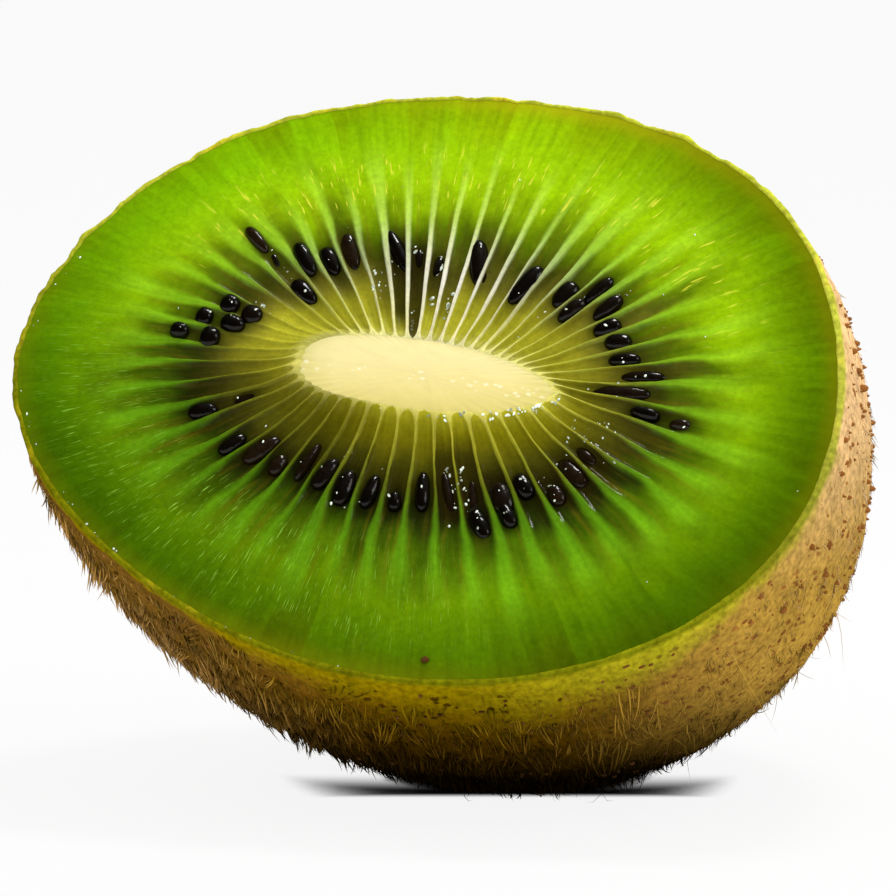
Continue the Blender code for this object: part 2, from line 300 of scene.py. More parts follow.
def wall_half_width(ray, share, sizes):
    """Half the width of the wall nearest to each ray number, in rays."""
    draw = np.random.default_rng(sizes.draw + 1)
    spread = draw.uniform(0.75, 1.35, RAYS)
    nearest = np.round(ray).astype(int) % RAYS
    own = 1 + (spread[nearest] - 1) * smooth(0.02, 0.10, share)
    start = draw.uniform(-0.010, 0.016, RAYS)[np.floor(ray).astype(int) % RAYS]
    usual, pale = (
        np.interp(share + start * (share > 0), *np.transpose(table))
        for table in (WALL_HALF_WIDTHS, PALE_HALF_WIDTHS)
    )
    return np.minimum((usual + (pale - usual) * paleness(ray)) * own, 0.5)


def paleness(ray):
    """How pale the walls are at a ray's number, from 0 to 1."""
    return np.exp(-(((ray - PALE_MIDDLE) / PALE_SPREAD) ** 2))


def wall_showing(ray, share):
    """How much of the nearest wall shows, from 0 to 1: on the left they melt away by the core."""
    table = np.zeros(RAYS)
    table[list(FADED_WALLS)] = list(FADED_WALLS.values())
    return 1 - table[np.round(ray).astype(int) % RAYS] * (1 - smooth(*FADE_END, share))


def face_height(ray, share, sizes):
    """Height of the cut face: a raised core, sunk pockets between raised walls, a falling rim."""
    _, deep_from, deep_to, end = POCKET_SHARES
    aside = np.abs(ray - np.round(ray))
    wide = wall_half_width(ray, share, sizes)
    in_pocket = 1 + (smooth(wide - 0.03, wide + 0.08, aside) - 1) * wall_showing(ray, share)
    bowl = 0.8 + 0.2 * np.sin(math.pi * aside)
    deep = sizes.pocket_sink * smooth(0.0, 0.06, share) * (1 - smooth(deep_to, end, share))
    deep *= 0.75 + 0.25 * smooth(0.0, deep_from, share)
    height = CORE_RISE * (1 - smooth(0.0, deep_from, share)) - deep * in_pocket * bowl
    return height - RIM_SINK * smooth(RIM_START, 1.0, share)


def rim_spread(ray, sizes):
    """How torn the rim is, how much it belongs to the upper left, and how far it spreads outwards."""
    turn = 2 * math.pi * ray / RAYS
    tear = rough(TEARS * np.stack([np.cos(turn), np.sin(turn), 0 * turn], axis=-1), 1.0, 4)
    upper_left = smooth(-0.5, 0.6, 0.8 * np.sin(turn) - 0.6 * np.cos(turn))
    return tear, upper_left, sizes.flare * (upper_left * (1 + 0.6 * tear) + 0.25 * tear)


def to_place():
    """Matrix from face coordinates to where the half lies."""
    turn = Euler((math.radians(FACE_TILT), 0, 0)).to_matrix().to_4x4()
    spin = Matrix.Rotation(math.radians(FACE_TURN), 4, "Z")
    return Matrix.Translation(FACE_CENTRE) @ turn @ spin


def placed(points, lowest=0.0):
    """Points in face coordinates as points where the half lies, none lower than lowest."""
    matrix = np.array(to_place())
    moved = points @ matrix[:3, :3].T + matrix[:3, 3]
    moved[:, 2] = np.maximum(moved[:, 2], lowest)
    return moved


def seed_rows():
    """Ray number, share and size of each seed, by the part's own rule, and then its looks."""
    draw = random.Random(SEED_DRAW)
    rows = []
    for pocket, places in enumerate(SEEDS_IN_POCKETS.split()):
        shortening = SEED_SIDE_SHORTENING * math.cos(2 * math.pi * pocket / RAYS) ** 2
        for hundredths in places.replace(".", "").split("+"):
            if hundredths:
                size = 1 - shortening + draw.uniform(-SEED_SIZE_SPREAD, SEED_SIZE_SPREAD)
                looks = SEED_LOOKS.get((pocket, int(hundredths)), SEED_USUAL)
                rows.append((pocket + 0.5, int(hundredths) / 100, size, *looks))
    return np.array(rows)


def wrapped_sheet(name, columns, rows):
    """A flat grid, and for each corner its column's and row's number, to be wrapped into a shell."""
    mesh = bmesh.new()
    mesh.loops.layers.uv.new("rays")
    bmesh.ops.create_grid(mesh, x_segments=columns, y_segments=rows, size=0.5)
    data = bpy.data.meshes.new(name)
    mesh.to_mesh(data)
    mesh.free()
    corners = corner_places(data)
    numbers = np.rint((corners[:, :2] + 0.5) * (columns, rows)).astype(int)
    return data, numbers[:, 0], numbers[:, 1]


def corner_places(data):
    """All corners of a mesh as an array."""
    flat = np.empty(len(data.vertices) * 3, np.float32)
    data.vertices.foreach_get("co", flat)
    return flat.reshape(-1, 3).astype(float)


def corner_normals(data):
    """The directions in which a mesh's corners face."""
    flat = np.empty(len(data.vertices) * 3, np.float32)
    data.vertices.foreach_get("normal", flat)
    return flat.reshape(-1, 3).astype(float)


def keep(data, name, values):
    """Stores one number or vector for each corner of a mesh, for its material."""
    values = np.asarray(values, np.float32)
    if values.ndim == 1:
        data.attributes.new(name, "FLOAT", "POINT").data.foreach_set("value", values)
    else:
        data.attributes.new(name, "FLOAT_VECTOR", "POINT").data.foreach_set("vector", values.ravel())


def map_rays(data, ray, share):
    """Lays the mesh's UV map out along the rays."""
    corner = np.empty(len(data.loops), np.int32)
    data.loops.foreach_get("vertex_index", corner)
    spots = np.stack([ray[corner] / RAYS, share[corner]], axis=-1).astype(np.float32)
    data.uv_layers["rays"].data.foreach_set("uv", spots.ravel())
    turn = 2 * math.pi * ray / RAYS
    keep(data, "around", np.stack([np.cos(turn), np.sin(turn), share], axis=-1))


def close_shell(data):
    """Merges a wrapped sheet's seam and ends, and turns its faces outwards."""
    mesh = bmesh.new()
    mesh.from_mesh(data)
    bmesh.ops.remove_doubles(mesh, verts=mesh.verts, dist=1e-7)
    bmesh.ops.recalc_face_normals(mesh, faces=mesh.faces)
    mesh.to_mesh(data)
    mesh.free()
    data.shade_smooth()


def show(name, data, material, replaced=False):
    """Makes a finished mesh a piece of the fruit."""
    piece = bpy.data.objects.new(name, data)
    bpy.context.scene.collection.objects.link(piece)
    data.materials.append(material)
    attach(piece, "root")
    if replaced:
        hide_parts("kiwi_half")


def rough(points, size, octaves=3):
    """Smooth random heights from -1 to 1 at some points, with bumps of a real size."""
    return np.array([noise.fractal(Vector(point) / size, 0.8, 2.1, octaves) for point in points])


def length(name, description, default):
    """A size in metres that a user may change."""
    return bpy.props.FloatProperty(
        name=name, description=description, default=default, min=0.0, precision=5, unit="LENGTH"
    )


def share_of(name, description, default):
    """A plain number that a user may change."""
    return bpy.props.FloatProperty(name=name, description=description, default=default, precision=3)


def count_of(name, description, default):
    """A whole number that a user may change."""
    return bpy.props.IntProperty(name=name, description=description, default=default, min=0)


def colour_of(name, description, code):
    """A colour that a user may change, from its sRGB hex code."""
    return bpy.props.FloatVectorProperty(
        name=name, description=description, default=linear(code), size=4, min=0.0, max=1.0, subtype="COLOR"
    )


class FruitSizes(bpy.types.PropertyGroup):
    """Sizes of what grows in and on the fruit."""

    draw: count_of("Draw", "Seed of every random choice", 11)
    skin: length("Skin", "Thickness of the skin", 0.38 * MM)
    lip: length("Lip", "How far the skin's cut edge stands above the flesh", 0.06 * MM)
    flare: length("Flare", "How far the rim spreads at the upper left", 0.3 * MM)
    skin_bumps: length("Skin bumps", "Height of the skin's unevenness", 0.14 * MM)
    pocket_sink: length("Pocket depth", "How far the seed pockets sink below their walls", 0.45 * MM)
    ray_wander: share_of("Ray wander", "How far a ray bends, as a share of the gap between rays", 0.06)
    fibre_relief: length("Fibre relief", "Height of the fibres of the outer flesh", 0.035 * MM)
    core_bulge: length("Core bulge", "How far the core rises above its edge", 0.16 * MM)
    seed_length: length("Seed length", "Length of a middling seed", 2.6 * MM)
    seed_width: length("Seed width", "Width of a seed", 1.2 * MM)
    seed_height: length("Seed height", "Thickness of a seed", 1.16 * MM)
    seed_swing: share_of("Seed swing", "How many degrees seeds lie off their pocket's line", 7.0)
    seed_sink: length("Seed sink", "How far the heights of seeds in their pockets differ", 0.08 * MM)
    juice: share_of("Juice", "Number of drops of juice, as a multiple of the usual", 1.0)
    # Painted glints: drops of juice on the seeds, and the size of the largest drops.
    seed_glint_drops: count_of("Drops on seeds", "Number of drops of juice on the seeds", 55)
    glint_drop_size: length("Juice drop", "Radius of the largest drops", 0.16 * MM)
    warts: count_of("Warts", "Number of corky warts on the skin", 1500)
    wart: length("Wart", "Radius of the largest warts", 0.17 * MM)


class HairSizes(bpy.types.PropertyGroup):
    """Sizes of the skin's hairs."""

    coarse: count_of("Coarse hairs", "Number of coarse hairs", 11500)
    coarse_length: length("Coarse length", "Length of the coarse hairs", 1.55 * MM)
    coarse_width: length("Coarse width", "Thickness of the coarse hairs", 0.13 * MM)
    fine: count_of("Fine hairs", "Number of fine hairs", 19500)
    fine_length: length("Fine length", "Length of the fine hairs", 0.85 * MM)
    fine_width: length("Fine width", "Thickness of the fine hairs", 0.065 * MM)
    felt: count_of("Felt hairs", "Number of short felted hairs", 45000)
    felt_length: length("Felt length", "Length of the felted hairs", 0.42 * MM)
    felt_width: length("Felt width", "Thickness of the felted hairs", 0.05 * MM)
    stray: count_of("Stray hairs", "Number of long curved hairs at the lower right", 120)
    stray_length: length("Stray length", "Length of the stray hairs", 1.9 * MM)
    stray_width: length("Stray width", "Thickness of the stray hairs", 0.05 * MM)


class FruitColours(bpy.types.PropertyGroup):
    """Colours of the fruit, as seen in plain light; some also carry painted light and shade, sheen and
    glints.
    """

    # Darkest gel round the seeds: partly the gel's own colour, partly painted shade round them.
    gel: colour_of("Gel by seeds", "Darkest gel, round the seeds", "#1a2404")
    stain: colour_of("Stain", "Brown gel in some pockets and over sunk seeds", "#211706")
    # Painted shade: what darkens the flesh's two ends, the left one cooling it too.
    right_end_shade: colour_of("Right end", "What the flesh's right end is darkened by", "#b0b8a0")
    left_end_shade: colour_of("Left end", "What the flesh's left end is darkened by", "#d2e8e0")
    smudge: colour_of("Warm smudge", "Brownish olive in some pockets", "#6a5c10")
    # Partly painted sheen: the pale dashes also stand for light on the fibres.
    fibre: colour_of("Fibre dashes", "Pale cut ends of the outer fibres", "#94c644")
    stroke: colour_of("Strokes", "Yellowish strokes beyond the pale walls", "#d6d83c")
    brink: colour_of("Brink", "Golden olive of the flesh by the skin", "#a49c10")
    core: colour_of("Core", "Cream of the core", "#ecdd9c")
    core_edge: colour_of("Core edge", "Core where it meets the pockets", "#dccf84")
    core_low: colour_of("Core below", "Lower side of the core", "#e0cf70")
    core_fibre: colour_of("Core fibres", "Ends of fibres in the core", "#f8f2c8")
    seed: colour_of("Seed", "Ripe black seed", "#060301")
    seed_brown: colour_of("Brown seed", "Paler seed", "#2a1a04")
    skin_edge: colour_of("Skin's cut edge", "Thin line of the cut skin", "#b8c034")
    skin_edge_low: colour_of("Lower cut edge", "The same below, where flesh and skin run together", "#6c7208")
    skin_torn_and_glint: colour_of("Torn edge", "Golden bits of the cut skin", "#b8a018")
    skin_near_cut: colour_of("Skin by the cut", "Skin that the juicy flesh shines through", "#907c02")
    skin_near_right: colour_of("Skin by the cut, right", "The same on the right", "#b0aa1c")
    skin_dark: colour_of("Dark skin", "Skin on the left and below", "#6e4c02")
    skin_left: colour_of("Skin on the left", "Greyer brown skin at the far left and behind", "#70501a")
    skin_gold: colour_of("Golden skin", "Skin at the lower right", "#b08a38")
    # Partly painted light: the skin is lighter at the upper right.
    skin_light: colour_of("Light skin", "Skin at the upper right", "#dab27e")
    skin_dot: colour_of("Corky dot", "Dots of the dark skin", "#3c2406")
    dot_light: colour_of("Light corky dot", "Dots of the light skin", "#94602c")
    hair_dark: colour_of("Hair root", "Root of a coarse hair", "#342000")
    # Golden torn bits, on the left partly a painted glint.
    hair_light: colour_of("Hair tip", "Tip of a coarse hair", "#b08022")
    hair_fine: colour_of("Fine hair tip", "Tip of a fine or felted hair", "#927010")
    hair_left: colour_of("Hair tip on the left", "Beige tips of the hairs on the left", "#b48e58")
    hair_gleam: colour_of("Stray hair tip", "Tip of a long curved hair", "#f0c468")
    # Partly painted light: the pale hairs on the right.
    hair_right: colour_of("Hair on the right", "Pale hairs on the right", "#e6c698")
    scar: colour_of("Stalk scar", "Dry wood of the stalk scar", "#2a1a0a")


class StageSettings(bpy.types.PropertyGroup):
    """Floor, light and camera."""

    floor_half: length("Floor", "Half the floor's width", 1.6)
    floor_colour: colour_of("Floor", "Plain pale floor", "#4c4c4c")
    glow: share_of("Floor glow", "How far the floor is lit from below, as a light table is", 0.89)
    contact: length("Contact shadow", "How far the dark under the fruit spreads over the glow", 0.0010)
    soft_shadow: length("Soft shadow", "How far the greyer dark at both sides of the contact spreads", 0.0034)
    sky: share_of("Sky light", "Brightness of the white all round", 1.0)
    key: share_of("Key light", "Watts of the soft light above", 0.35)
    fill: share_of("Side light", "Watts of the soft light on the right", 0.12)
    lens: share_of("Lens", "Focal length in millimetres on a 36 mm sensor", 239.0)
    distance: length("Distance", "Camera's distance from what it looks at", 0.38)
    round_angle: share_of("Azimuth", "Degrees round to the right of straight in front", 10.41)
    high_angle: share_of("Elevation", "Degrees above the horizon", 8.0)
    aim_right: length("Aim right", "How far right of the face's middle the camera looks", 1.409 * MM)
    aim_down: length("Aim down", "How far below the face's middle the camera looks", 4.569 * MM)


SIZE_GROUPS = {
    "kiwi_sizes": FruitSizes,
    "kiwi_hairs": HairSizes,
    "kiwi_colours": FruitColours,
    "kiwi_stage": StageSettings,
}


def wire(tree, value, plug):
    """Gives an input a plain value, or links it to a socket or to a node's first output."""
    if isinstance(value, bpy.types.Node):
        value = next(socket for socket in value.outputs if socket.enabled)
    if isinstance(value, bpy.types.NodeSocket):
        tree.links.new(value, plug)
    else:
        plug.default_value = value


def add(tree, kind, *inputs, ramp=(), **settings):
    """Adds a shader node. Its inputs are given in their order, or in one dictionary by their names."""
    made = tree.nodes.new("ShaderNode" + kind)
    for name, value in settings.items():
        setattr(made, name, value)
    plugs = [plug for plug in made.inputs if plug.enabled]
    if inputs and isinstance(inputs[0], dict):
        for name, value in inputs[0].items():
            wire(tree, value, next(plug for plug in plugs if plug.name == name))
    else:
        for value, plug in zip(inputs, plugs):
            wire(tree, value, plug)
    for number, (place, code) in enumerate(ramp):
        stops = made.color_ramp.elements
        stop = stops[number] if number < 2 else stops.new(place)
        stop.position = place
        stop.color = linear(code)
    return made


def ranged(tree, value, start, end, low=0.0, high=1.0):
    """A number that runs straight from low at start to high at end, and holds beyond them."""
    return add(tree, "MapRange", value, start, end, low, high)


def eased(tree, value, start, end, low=0.0, high=1.0):
    """The same with a gentle start and end."""
    return add(tree, "MapRange", value, start, end, low, high, interpolation_type="SMOOTHSTEP")


def times(tree, *factors):
    """The product of several numbers."""
    product = factors[0]
    for factor in factors[1:]:
        product = add(tree, "Math", product, factor, operation="MULTIPLY")
    return product


def plus(tree, first, second):
    """The sum of two numbers."""
    return add(tree, "Math", first, second, operation="ADD")


def minus(tree, first, second):
    """The first number less the second."""
    return add(tree, "Math", first, second, operation="SUBTRACT")


def larger(tree, first, second):
    """The larger of two numbers."""
    return add(tree, "Math", first, second, operation="MAXIMUM")


def blend(tree, factor, first, second):
    """A colour between two others."""
    return add(tree, "Mix", {"Factor": factor, "A": first, "B": second}, data_type="RGBA")


def scaled(tree, colour, light):
    """A colour made lighter or darker."""
    return add(tree, "VectorMath", {"Vector": colour, "Scale": light}, operation="SCALE")


def stored(tree, name):
    """The number that each corner of the mesh keeps under a name."""
    return add(tree, "Attribute", attribute_name=name).outputs["Fac"]


def object_place(tree):
    """Where a point lies on its piece, in metres."""
    return add(tree, "TexCoord").outputs["Object"]


def separated(tree, vector):
    """A vector's three numbers."""
    return tuple(add(tree, "SeparateXYZ", vector).outputs)


def drawn_out(tree, around, cells, detail):
    """Noise drawn out along the rays, with some cells round the face and along a ray."""
    return add(tree, "TexNoise", add(tree, "VectorMath", around, cells, operation="MULTIPLY"), 1.0, detail)


def add_relief(tree, shader, height, strength, most, coated=False):
    """Gives a surface bumps of at most some height, and its wet coat too."""
    bump = add(tree, "Bump", {"Height": height, "Strength": strength, "Distance": most})
    wire(tree, bump, shader.inputs["Normal"])
    if coated:
        wire(tree, bump, shader.inputs["Coat Normal"])


def new_material(name, **sockets):
    """A procedural material, its nodes and its Principled shader with some sockets set."""
    material = bpy.data.materials.new(name)
    material.use_nodes = True
    shader = material.node_tree.nodes["Principled BSDF"]
    for socket, value in sockets.items():
        shader.inputs[socket.replace("_", " ").title().replace("Ior", "IOR")].default_value = value
    return material, material.node_tree, shader


# Colours along a ray, from the core's edge at 0 to the skin at 1. The top ramps are lighter than the low
# ones: partly the flesh's own colour, partly painted light at the top and painted shade below.
POCKET_TOP = (
    (0.0, "#a4a04e"), (0.06, "#aeaa2e"), (0.18, "#b4b02a"), (0.28, "#989430"), (0.38, "#646c18"),
    (0.47, "#66820a"), (0.57, "#92bb07"), (0.68, "#abdb0a"), (0.80, "#a2d208"), (1.0, "#90a804"),
)
POCKET_LOW = (
    (0.0, "#b6af26"), (0.07, "#8e880e"), (0.18, "#605d10"), (0.29, "#34340a"), (0.38, "#2c380a"),
    (0.48, "#486606"), (0.58, "#60860a"), (0.69, "#709a04"), (0.82, "#5e8604"), (1.0, "#566a03"),
)
STRAND_PALE = (
    (0.0, "#d6ce98"), (0.08, "#dcd6a8"), (0.26, "#f2eedc"), (0.38, "#e6e8bc"), (0.50, "#c8e468"),
    (0.64, "#c0e840"), (0.82, "#a6d81a"),
)
STRAND_TOP = (
    (0.0, "#e4de84"), (0.10, "#bcba44"), (0.28, "#909830"), (0.40, "#84ac24"), (0.54, "#9cd01c"),
    (0.70, "#b4e620"), (0.86, "#9ccc14"),
)
STRAND_LOW = (
    (0.0, "#dcd26c"), (0.04, "#b4ac3c"), (0.12, "#9c982a"), (0.28, "#687018"), (0.40, "#588612"),
    (0.54, "#68a012"), (0.68, "#7cb614"), (0.82, "#62900c"), (0.94, "#547c08"),
)
WHITE = (1.0, 1.0, 1.0, 1.0)


def strand_mask(tree, ray, share, patches, pale):
    """Walls and strands: sharp by the core, wider and softer outwards, each ending at its own place."""
    most_nudge = ranged(tree, pale, 0.0, 1.0, 0.07, 0.02)
    nudge = times(tree, ranged(tree, patches, 0.3, 0.7, -1.0), most_nudge)
    bent = plus(tree, ray, nudge)
    off_wall = add(tree, "Math", bent, 0.5, operation="PINGPONG")
    most_blur = ranged(tree, pale, 0.0, 1.0, 0.2, 0.08)
    blur = ranged(tree, share, 0.25, 0.65, 0.025, most_blur)
    width = stored(tree, "wall")
    strand = eased(tree, off_wall, minus(tree, width, blur), plus(tree, width, blur), 1.0, 0.0)
    nearest = add(tree, "Math", add(tree, "Math", bent, operation="ROUND"), RAYS, 0.0, operation="WRAP")
    lot = add(tree, "TexWhiteNoise", nearest, noise_dimensions="1D")
    end = ranged(tree, lot, 0.0, 1.0, 0.72, 0.92)
    lasts = eased(tree, share, minus(tree, end, 0.22), end, 1.0, 0.0)
    return times(tree, strand, lasts, stored(tree, "showing")), bent


def pocket_reach(tree, bent, share, across, patches):
    """Shares moved a little, so that each pocket reaches further or less far than its neighbours."""
    number = add(tree, "Math", add(tree, "Math", bent, operation="FLOOR"), RAYS, 0.0, operation="WRAP")
    lot = add(tree, "TexWhiteNoise", number, noise_dimensions="1D")
    moved = plus(tree, share, ranged(tree, lot, 0.0, 1.0, -0.05, 0.05))
    moved = plus(tree, moved, ranged(tree, patches, 0.3, 0.7, -0.05, 0.05))
    # Pockets are longer at the face's two ends.
    aside = add(tree, "Math", across, operation="ABSOLUTE")
    moved = minus(tree, moved, times(tree, eased(tree, share, 0.32, 0.6, 0.0, 0.05), aside))
    return add(tree, "Mix", ranged(tree, share, 0.05, 0.3), share, moved, data_type="FLOAT")


def pocket_colour(tree, tones, share, moved, across, height, streaks):
    """Pockets: yellow by the core, dark round the seeds, partly as painted shade, green beyond, some with
    brown gel; lighter towards the top, partly as painted light.
    """
    left = times(tree, ranged(tree, across, -0.3, -0.9, 0.0, 0.45), ranged(tree, share, 0.2, 0.4, 1.0, 0.0))
    low = add(tree, "ValToRGB", moved, ramp=POCKET_LOW)
    top = add(tree, "ValToRGB", moved, ramp=POCKET_TOP)
    # Painted light and shade: upwards, and on the left by the core, the darker low colours give way to the
    # lighter top ones, partly the flesh's own colour.
    colour = blend(tree, plus(tree, height, left), low, top)
    warm = ranged(tree, streaks, 0.48, 0.68, 0.0, 0.45)
    warm = times(tree, warm, ranged(tree, share, 0.12, 0.3), ranged(tree, share, 0.55, 0.85, 1.0, 0.0))
    colour = blend(tree, warm, colour, tones.smudge)
    # Round the seeds the pockets darken to the darkest gel, partly the gel's own colour and partly painted
    # shade; the stain is brown gel in some pockets and over sunk seeds.
    for name, most, tone in (("gel", 0.75, tones.gel), ("stain", 0.88, tones.stain)):
        colour = blend(tree, times(tree, stored(tree, name), most), colour, tone)
    return colour


def shaded(tree, tones, colour, share, across, upwards, lower_left, upper_right):
    """Painted shade: darker at the lower left, and darkened and tinted at the face's two ends; golden by the
    skin in places.
    """
    # Painted light and shade by the core: lighter there, but darker at the lower left.
    by_side = ranged(tree, lower_left, 0.86, 1.0, 1.2, 0.75)
    by_core = ranged(tree, share, 0.08, 0.3, by_side)
    by_rim = eased(tree, share, 0.91, 0.99)
    # Painted shade: the lower left is darker, except right by the rim.
    shade = ranged(tree, lower_left, 0.6, 1.0, 1.0, 0.76)
    shade = add(tree, "Mix", by_rim, shade, 1.0, data_type="FLOAT")
    colour = scaled(tree, colour, times(tree, shade, by_core))
    golden = ranged(tree, upper_right, 0.2, 0.8, 0.0, 0.7)
    golden = larger(tree, golden, ranged(tree, lower_left, 0.3, 0.7, 0.0, 0.2))
    colour = blend(tree, times(tree, by_rim, golden), colour, tones.brink)
    # Painted shade at the face's two ends: outwards their tints darken the flesh, the right one less below.
    outwards = eased(tree, share, 0.60, 0.92)
    for reach, level, least, tint in ((0.9, -0.9, 0.35, tones.right_end_shade), (-0.9, 0.9, 1.0, tones.left_end_shade)):
        side = eased(tree, across, 0.0, reach)
        less = ranged(tree, upwards, 0.1 * level, level, 1.0, least)
        tint = blend(tree, times(tree, side, outwards, less), WHITE, tint)
        colour = add(tree, "VectorMath", colour, tint, operation="MULTIPLY")
    return colour


def dashes_with_sheen(tree, tones, colour, share, dashes, lower_left, upper_right):
    """Pale dashes of cut fibres, thick at the lower left and a few at the upper right: partly the fibres' own
    colour, partly painted sheen.
    """
    many = ranged(tree, lower_left, 0.35, 1.0, 0.0, 0.65)
    few = ranged(tree, upper_right, 0.6, 1.0, 0.0, 0.25)
    there = larger(tree, larger(tree, many, few), 0.04)
    start = ranged(tree, share, 0.45, 0.58)
    end = ranged(tree, share, 0.80, 0.95, 1.0, 0.0)
    bits = times(tree, ranged(tree, dashes, 0.62, 0.70), there, start, end)
    return blend(tree, bits, colour, tones.fibre)


def stroked(tree, tones, colour, share, upwards, around):
    """A few long yellowish strokes at the top."""
    stroke = ranged(tree, drawn_out(tree, around, (80, 80, 14), 1.0), 0.64, 0.72, 0.0, 0.8)
    start = ranged(tree, share, 0.52, 0.60)
    end = ranged(tree, share, 0.74, 0.84, 1.0, 0.0)
    stroke = times(tree, stroke, ranged(tree, upwards, 0.1, 0.6), start, end)
    return blend(tree, stroke, colour, tones.stroke)


def flesh_material(tones):
    """Wet flesh: thin walls between dark seed pockets, running out as soft strands into grainy green."""
    material, tree, shader = new_material(
        "wet_flesh", specular_ior_level=0.0, coat_weight=0.14, coat_roughness=0.05,
        subsurface_weight=0.12, subsurface_radius=(0.8, 1.0, 0.1), subsurface_scale=0.6 * MM,
    )
    turned, share, _ = separated(tree, add(tree, "UVMap", uv_map="rays"))
    ray = times(tree, turned, float(RAYS))
    around = add(tree, "Attribute", attribute_name="around").outputs["Vector"]
    across, upwards, _ = separated(tree, around)
    # Patches, streaks and dashes drawn out along the rays, and the grain of single cells.
    patches = drawn_out(tree, around, (8, 8, 5), 2.0)
    streaks = drawn_out(tree, around, (42, 42, 4), 3.0)
    dashes = drawn_out(tree, around, (280, 280, 15), 2.0)
    grain = add(tree, "TexNoise", object_place(tree), 2.6 / MM, 3.0, 0.65)
    # Pockets, with walls and strands between them.
    pale = stored(tree, "pale")
    strand, bent = strand_mask(tree, ray, share, patches, pale)
    moved = pocket_reach(tree, bent, share, across, patches)
    # How far up the face a point lies: the flesh is lighter at the top and darker below, partly its own
    # colour and partly painted light and shade.
    height = eased(tree, upwards, -0.6, 0.7)
    pocket = pocket_colour(tree, tones, share, moved, across, height, streaks)
    low = add(tree, "ValToRGB", share, ramp=STRAND_LOW)
    top = add(tree, "ValToRGB", share, ramp=STRAND_TOP)
    palest = add(tree, "ValToRGB", share, ramp=STRAND_PALE)
    walls = blend(tree, pale, blend(tree, height, low, top), palest)
    colour = blend(tree, strand, pocket, walls)
    # Light and dark: streaks, grain, patches, sides and ends.
    streaky = ranged(tree, streaks, 0.3, 0.7, 0.86, 1.14)
    grainy = ranged(tree, grain, 0.3, 0.7, 0.88, 1.12)
    blotchy = ranged(tree, patches, 0.3, 0.7, 0.92, 1.08)
    colour = scaled(tree, colour, times(tree, streaky, FLESH_EXPOSURE, grainy, blotchy))
    lower_left, upper_right = (
        add(tree, "VectorMath", around, way, operation="DOT_PRODUCT").outputs["Value"]
        for way in ((-0.55, -0.85, 0.0), (0.7, 0.7, 0.0))
    )
    colour = shaded(tree, tones, colour, share, across, upwards, lower_left, upper_right)
    colour = dashes_with_sheen(tree, tones, colour, share, dashes, lower_left, upper_right)
    colour = stroked(tree, tones, colour, share, upwards, around)
    wire(tree, colour, shader.inputs["Base Color"])
    # Wet relief: coarser by the core than outside.
    cells = add(tree, "Math", dashes, 0.15, grain, operation="MULTIPLY_ADD")
    add_relief(tree, shader, cells, ranged(tree, share, 0.28, 0.45, 0.8, 0.3), 0.07 * MM, coated=True)
    return material


def core_material(tones):
    """Dense cream core: fine grain, short pale fibre ends in a row, greener towards its edge."""
    material, tree, shader = new_material(
        "cream_core", roughness=0.45, specular_ior_level=0.2, subsurface_weight=0.2,
        subsurface_radius=(1.0, 0.9, 0.5), subsurface_scale=0.8 * MM,
    )
    place = object_place(tree)
    share = separated(tree, add(tree, "UVMap", uv_map="rays"))[1]
    grain = add(tree, "TexNoise", place, 1.4 / MM, 4.0)
    cloud = add(tree, "TexNoise", place, 0.42 / MM, 2.0)
    edge = add(tree, "Math", cloud, 0.5, share, operation="MULTIPLY_ADD")
    colour = blend(tree, eased(tree, edge, 0.9, 1.35), tones.core, tones.core_edge)
    z = separated(tree, place)[2]
    below = ranged(tree, z, CORE_LIGHT_ABOVE, CORE_YELLOW_BELOW, 0.0, 0.8)
    colour = blend(tree, below, colour, tones.core_low)
    drawn = add(tree, "Mapping", {"Vector": place, "Scale": (0.6, 1.0, 1.0)})
    ends = ranged(tree, add(tree, "TexVoronoi", drawn, 2.6 / MM), 0.34, 0.12, 0.0, 0.9)
    aside = add(tree, "Math", stored(tree, "aside"), operation="ABSOLUTE")
    in_row = eased(tree, aside, 0.25, 0.75, 1.0, 0.0)
    ends = times(tree, ends, in_row, ranged(tree, cloud, 0.42, 0.55))
    colour = blend(tree, ends, colour, tones.core_fibre)
    wire(tree, colour, shader.inputs["Base Color"])
    add_relief(tree, shader, grain, 0.3, 0.08 * MM)
    return material


def juicy_by_cut(tree, tones, colour, share, mottle, x, z):
    """Skin that juice shines through by the cut: far down below, hardly on the left and at the top."""
    depth = plus(tree, share, ranged(tree, mottle, 0.3, 0.7, -0.015, 0.015))
    reach = ranged(tree, x, -16 * MM, 8 * MM, 0.01, 0.15)
    reach = ranged(tree, x, 8 * MM, 21 * MM, reach, 0.03)
    reach = ranged(tree, z, 12 * MM, 28 * MM, reach, 0.02)
    near = eased(tree, depth, 0.0, reach, 1.0, 0.0)
    near = times(tree, near, ranged(tree, x, 18 * MM, 26 * MM, 1.0, 0.4))
    juicy = blend(tree, ranged(tree, x, 4 * MM, 18 * MM), tones.skin_near_cut, tones.skin_near_right)
    return blend(tree, near, colour, juicy)


def cut_edge(tree, tones, colour, share, mottle, x):
    """The thin line of the cut skin, with golden torn bits at the top and on the left, where their gold is
    partly a painted glint.
    """
    edge = ranged(tree, share, 0.0, 0.008, 0.85, 0.0)
    upwards = separated(tree, add(tree, "Attribute", attribute_name="around").outputs["Vector"])[1]
    upper = eased(tree, upwards, -0.45, 0.5)
    cut = blend(tree, upper, tones.skin_edge_low, tones.skin_edge)
    # On the left the golden bits are partly a painted glint.
    leftwards = ranged(tree, x, -4 * MM, -16 * MM, 0.0, 1.3)
    torn = times(tree, ranged(tree, mottle, 0.56, 0.66, 0.0, 0.6), larger(tree, upper, leftwards))
    return blend(tree, edge, colour, blend(tree, torn, cut, tones.skin_torn_and_glint))


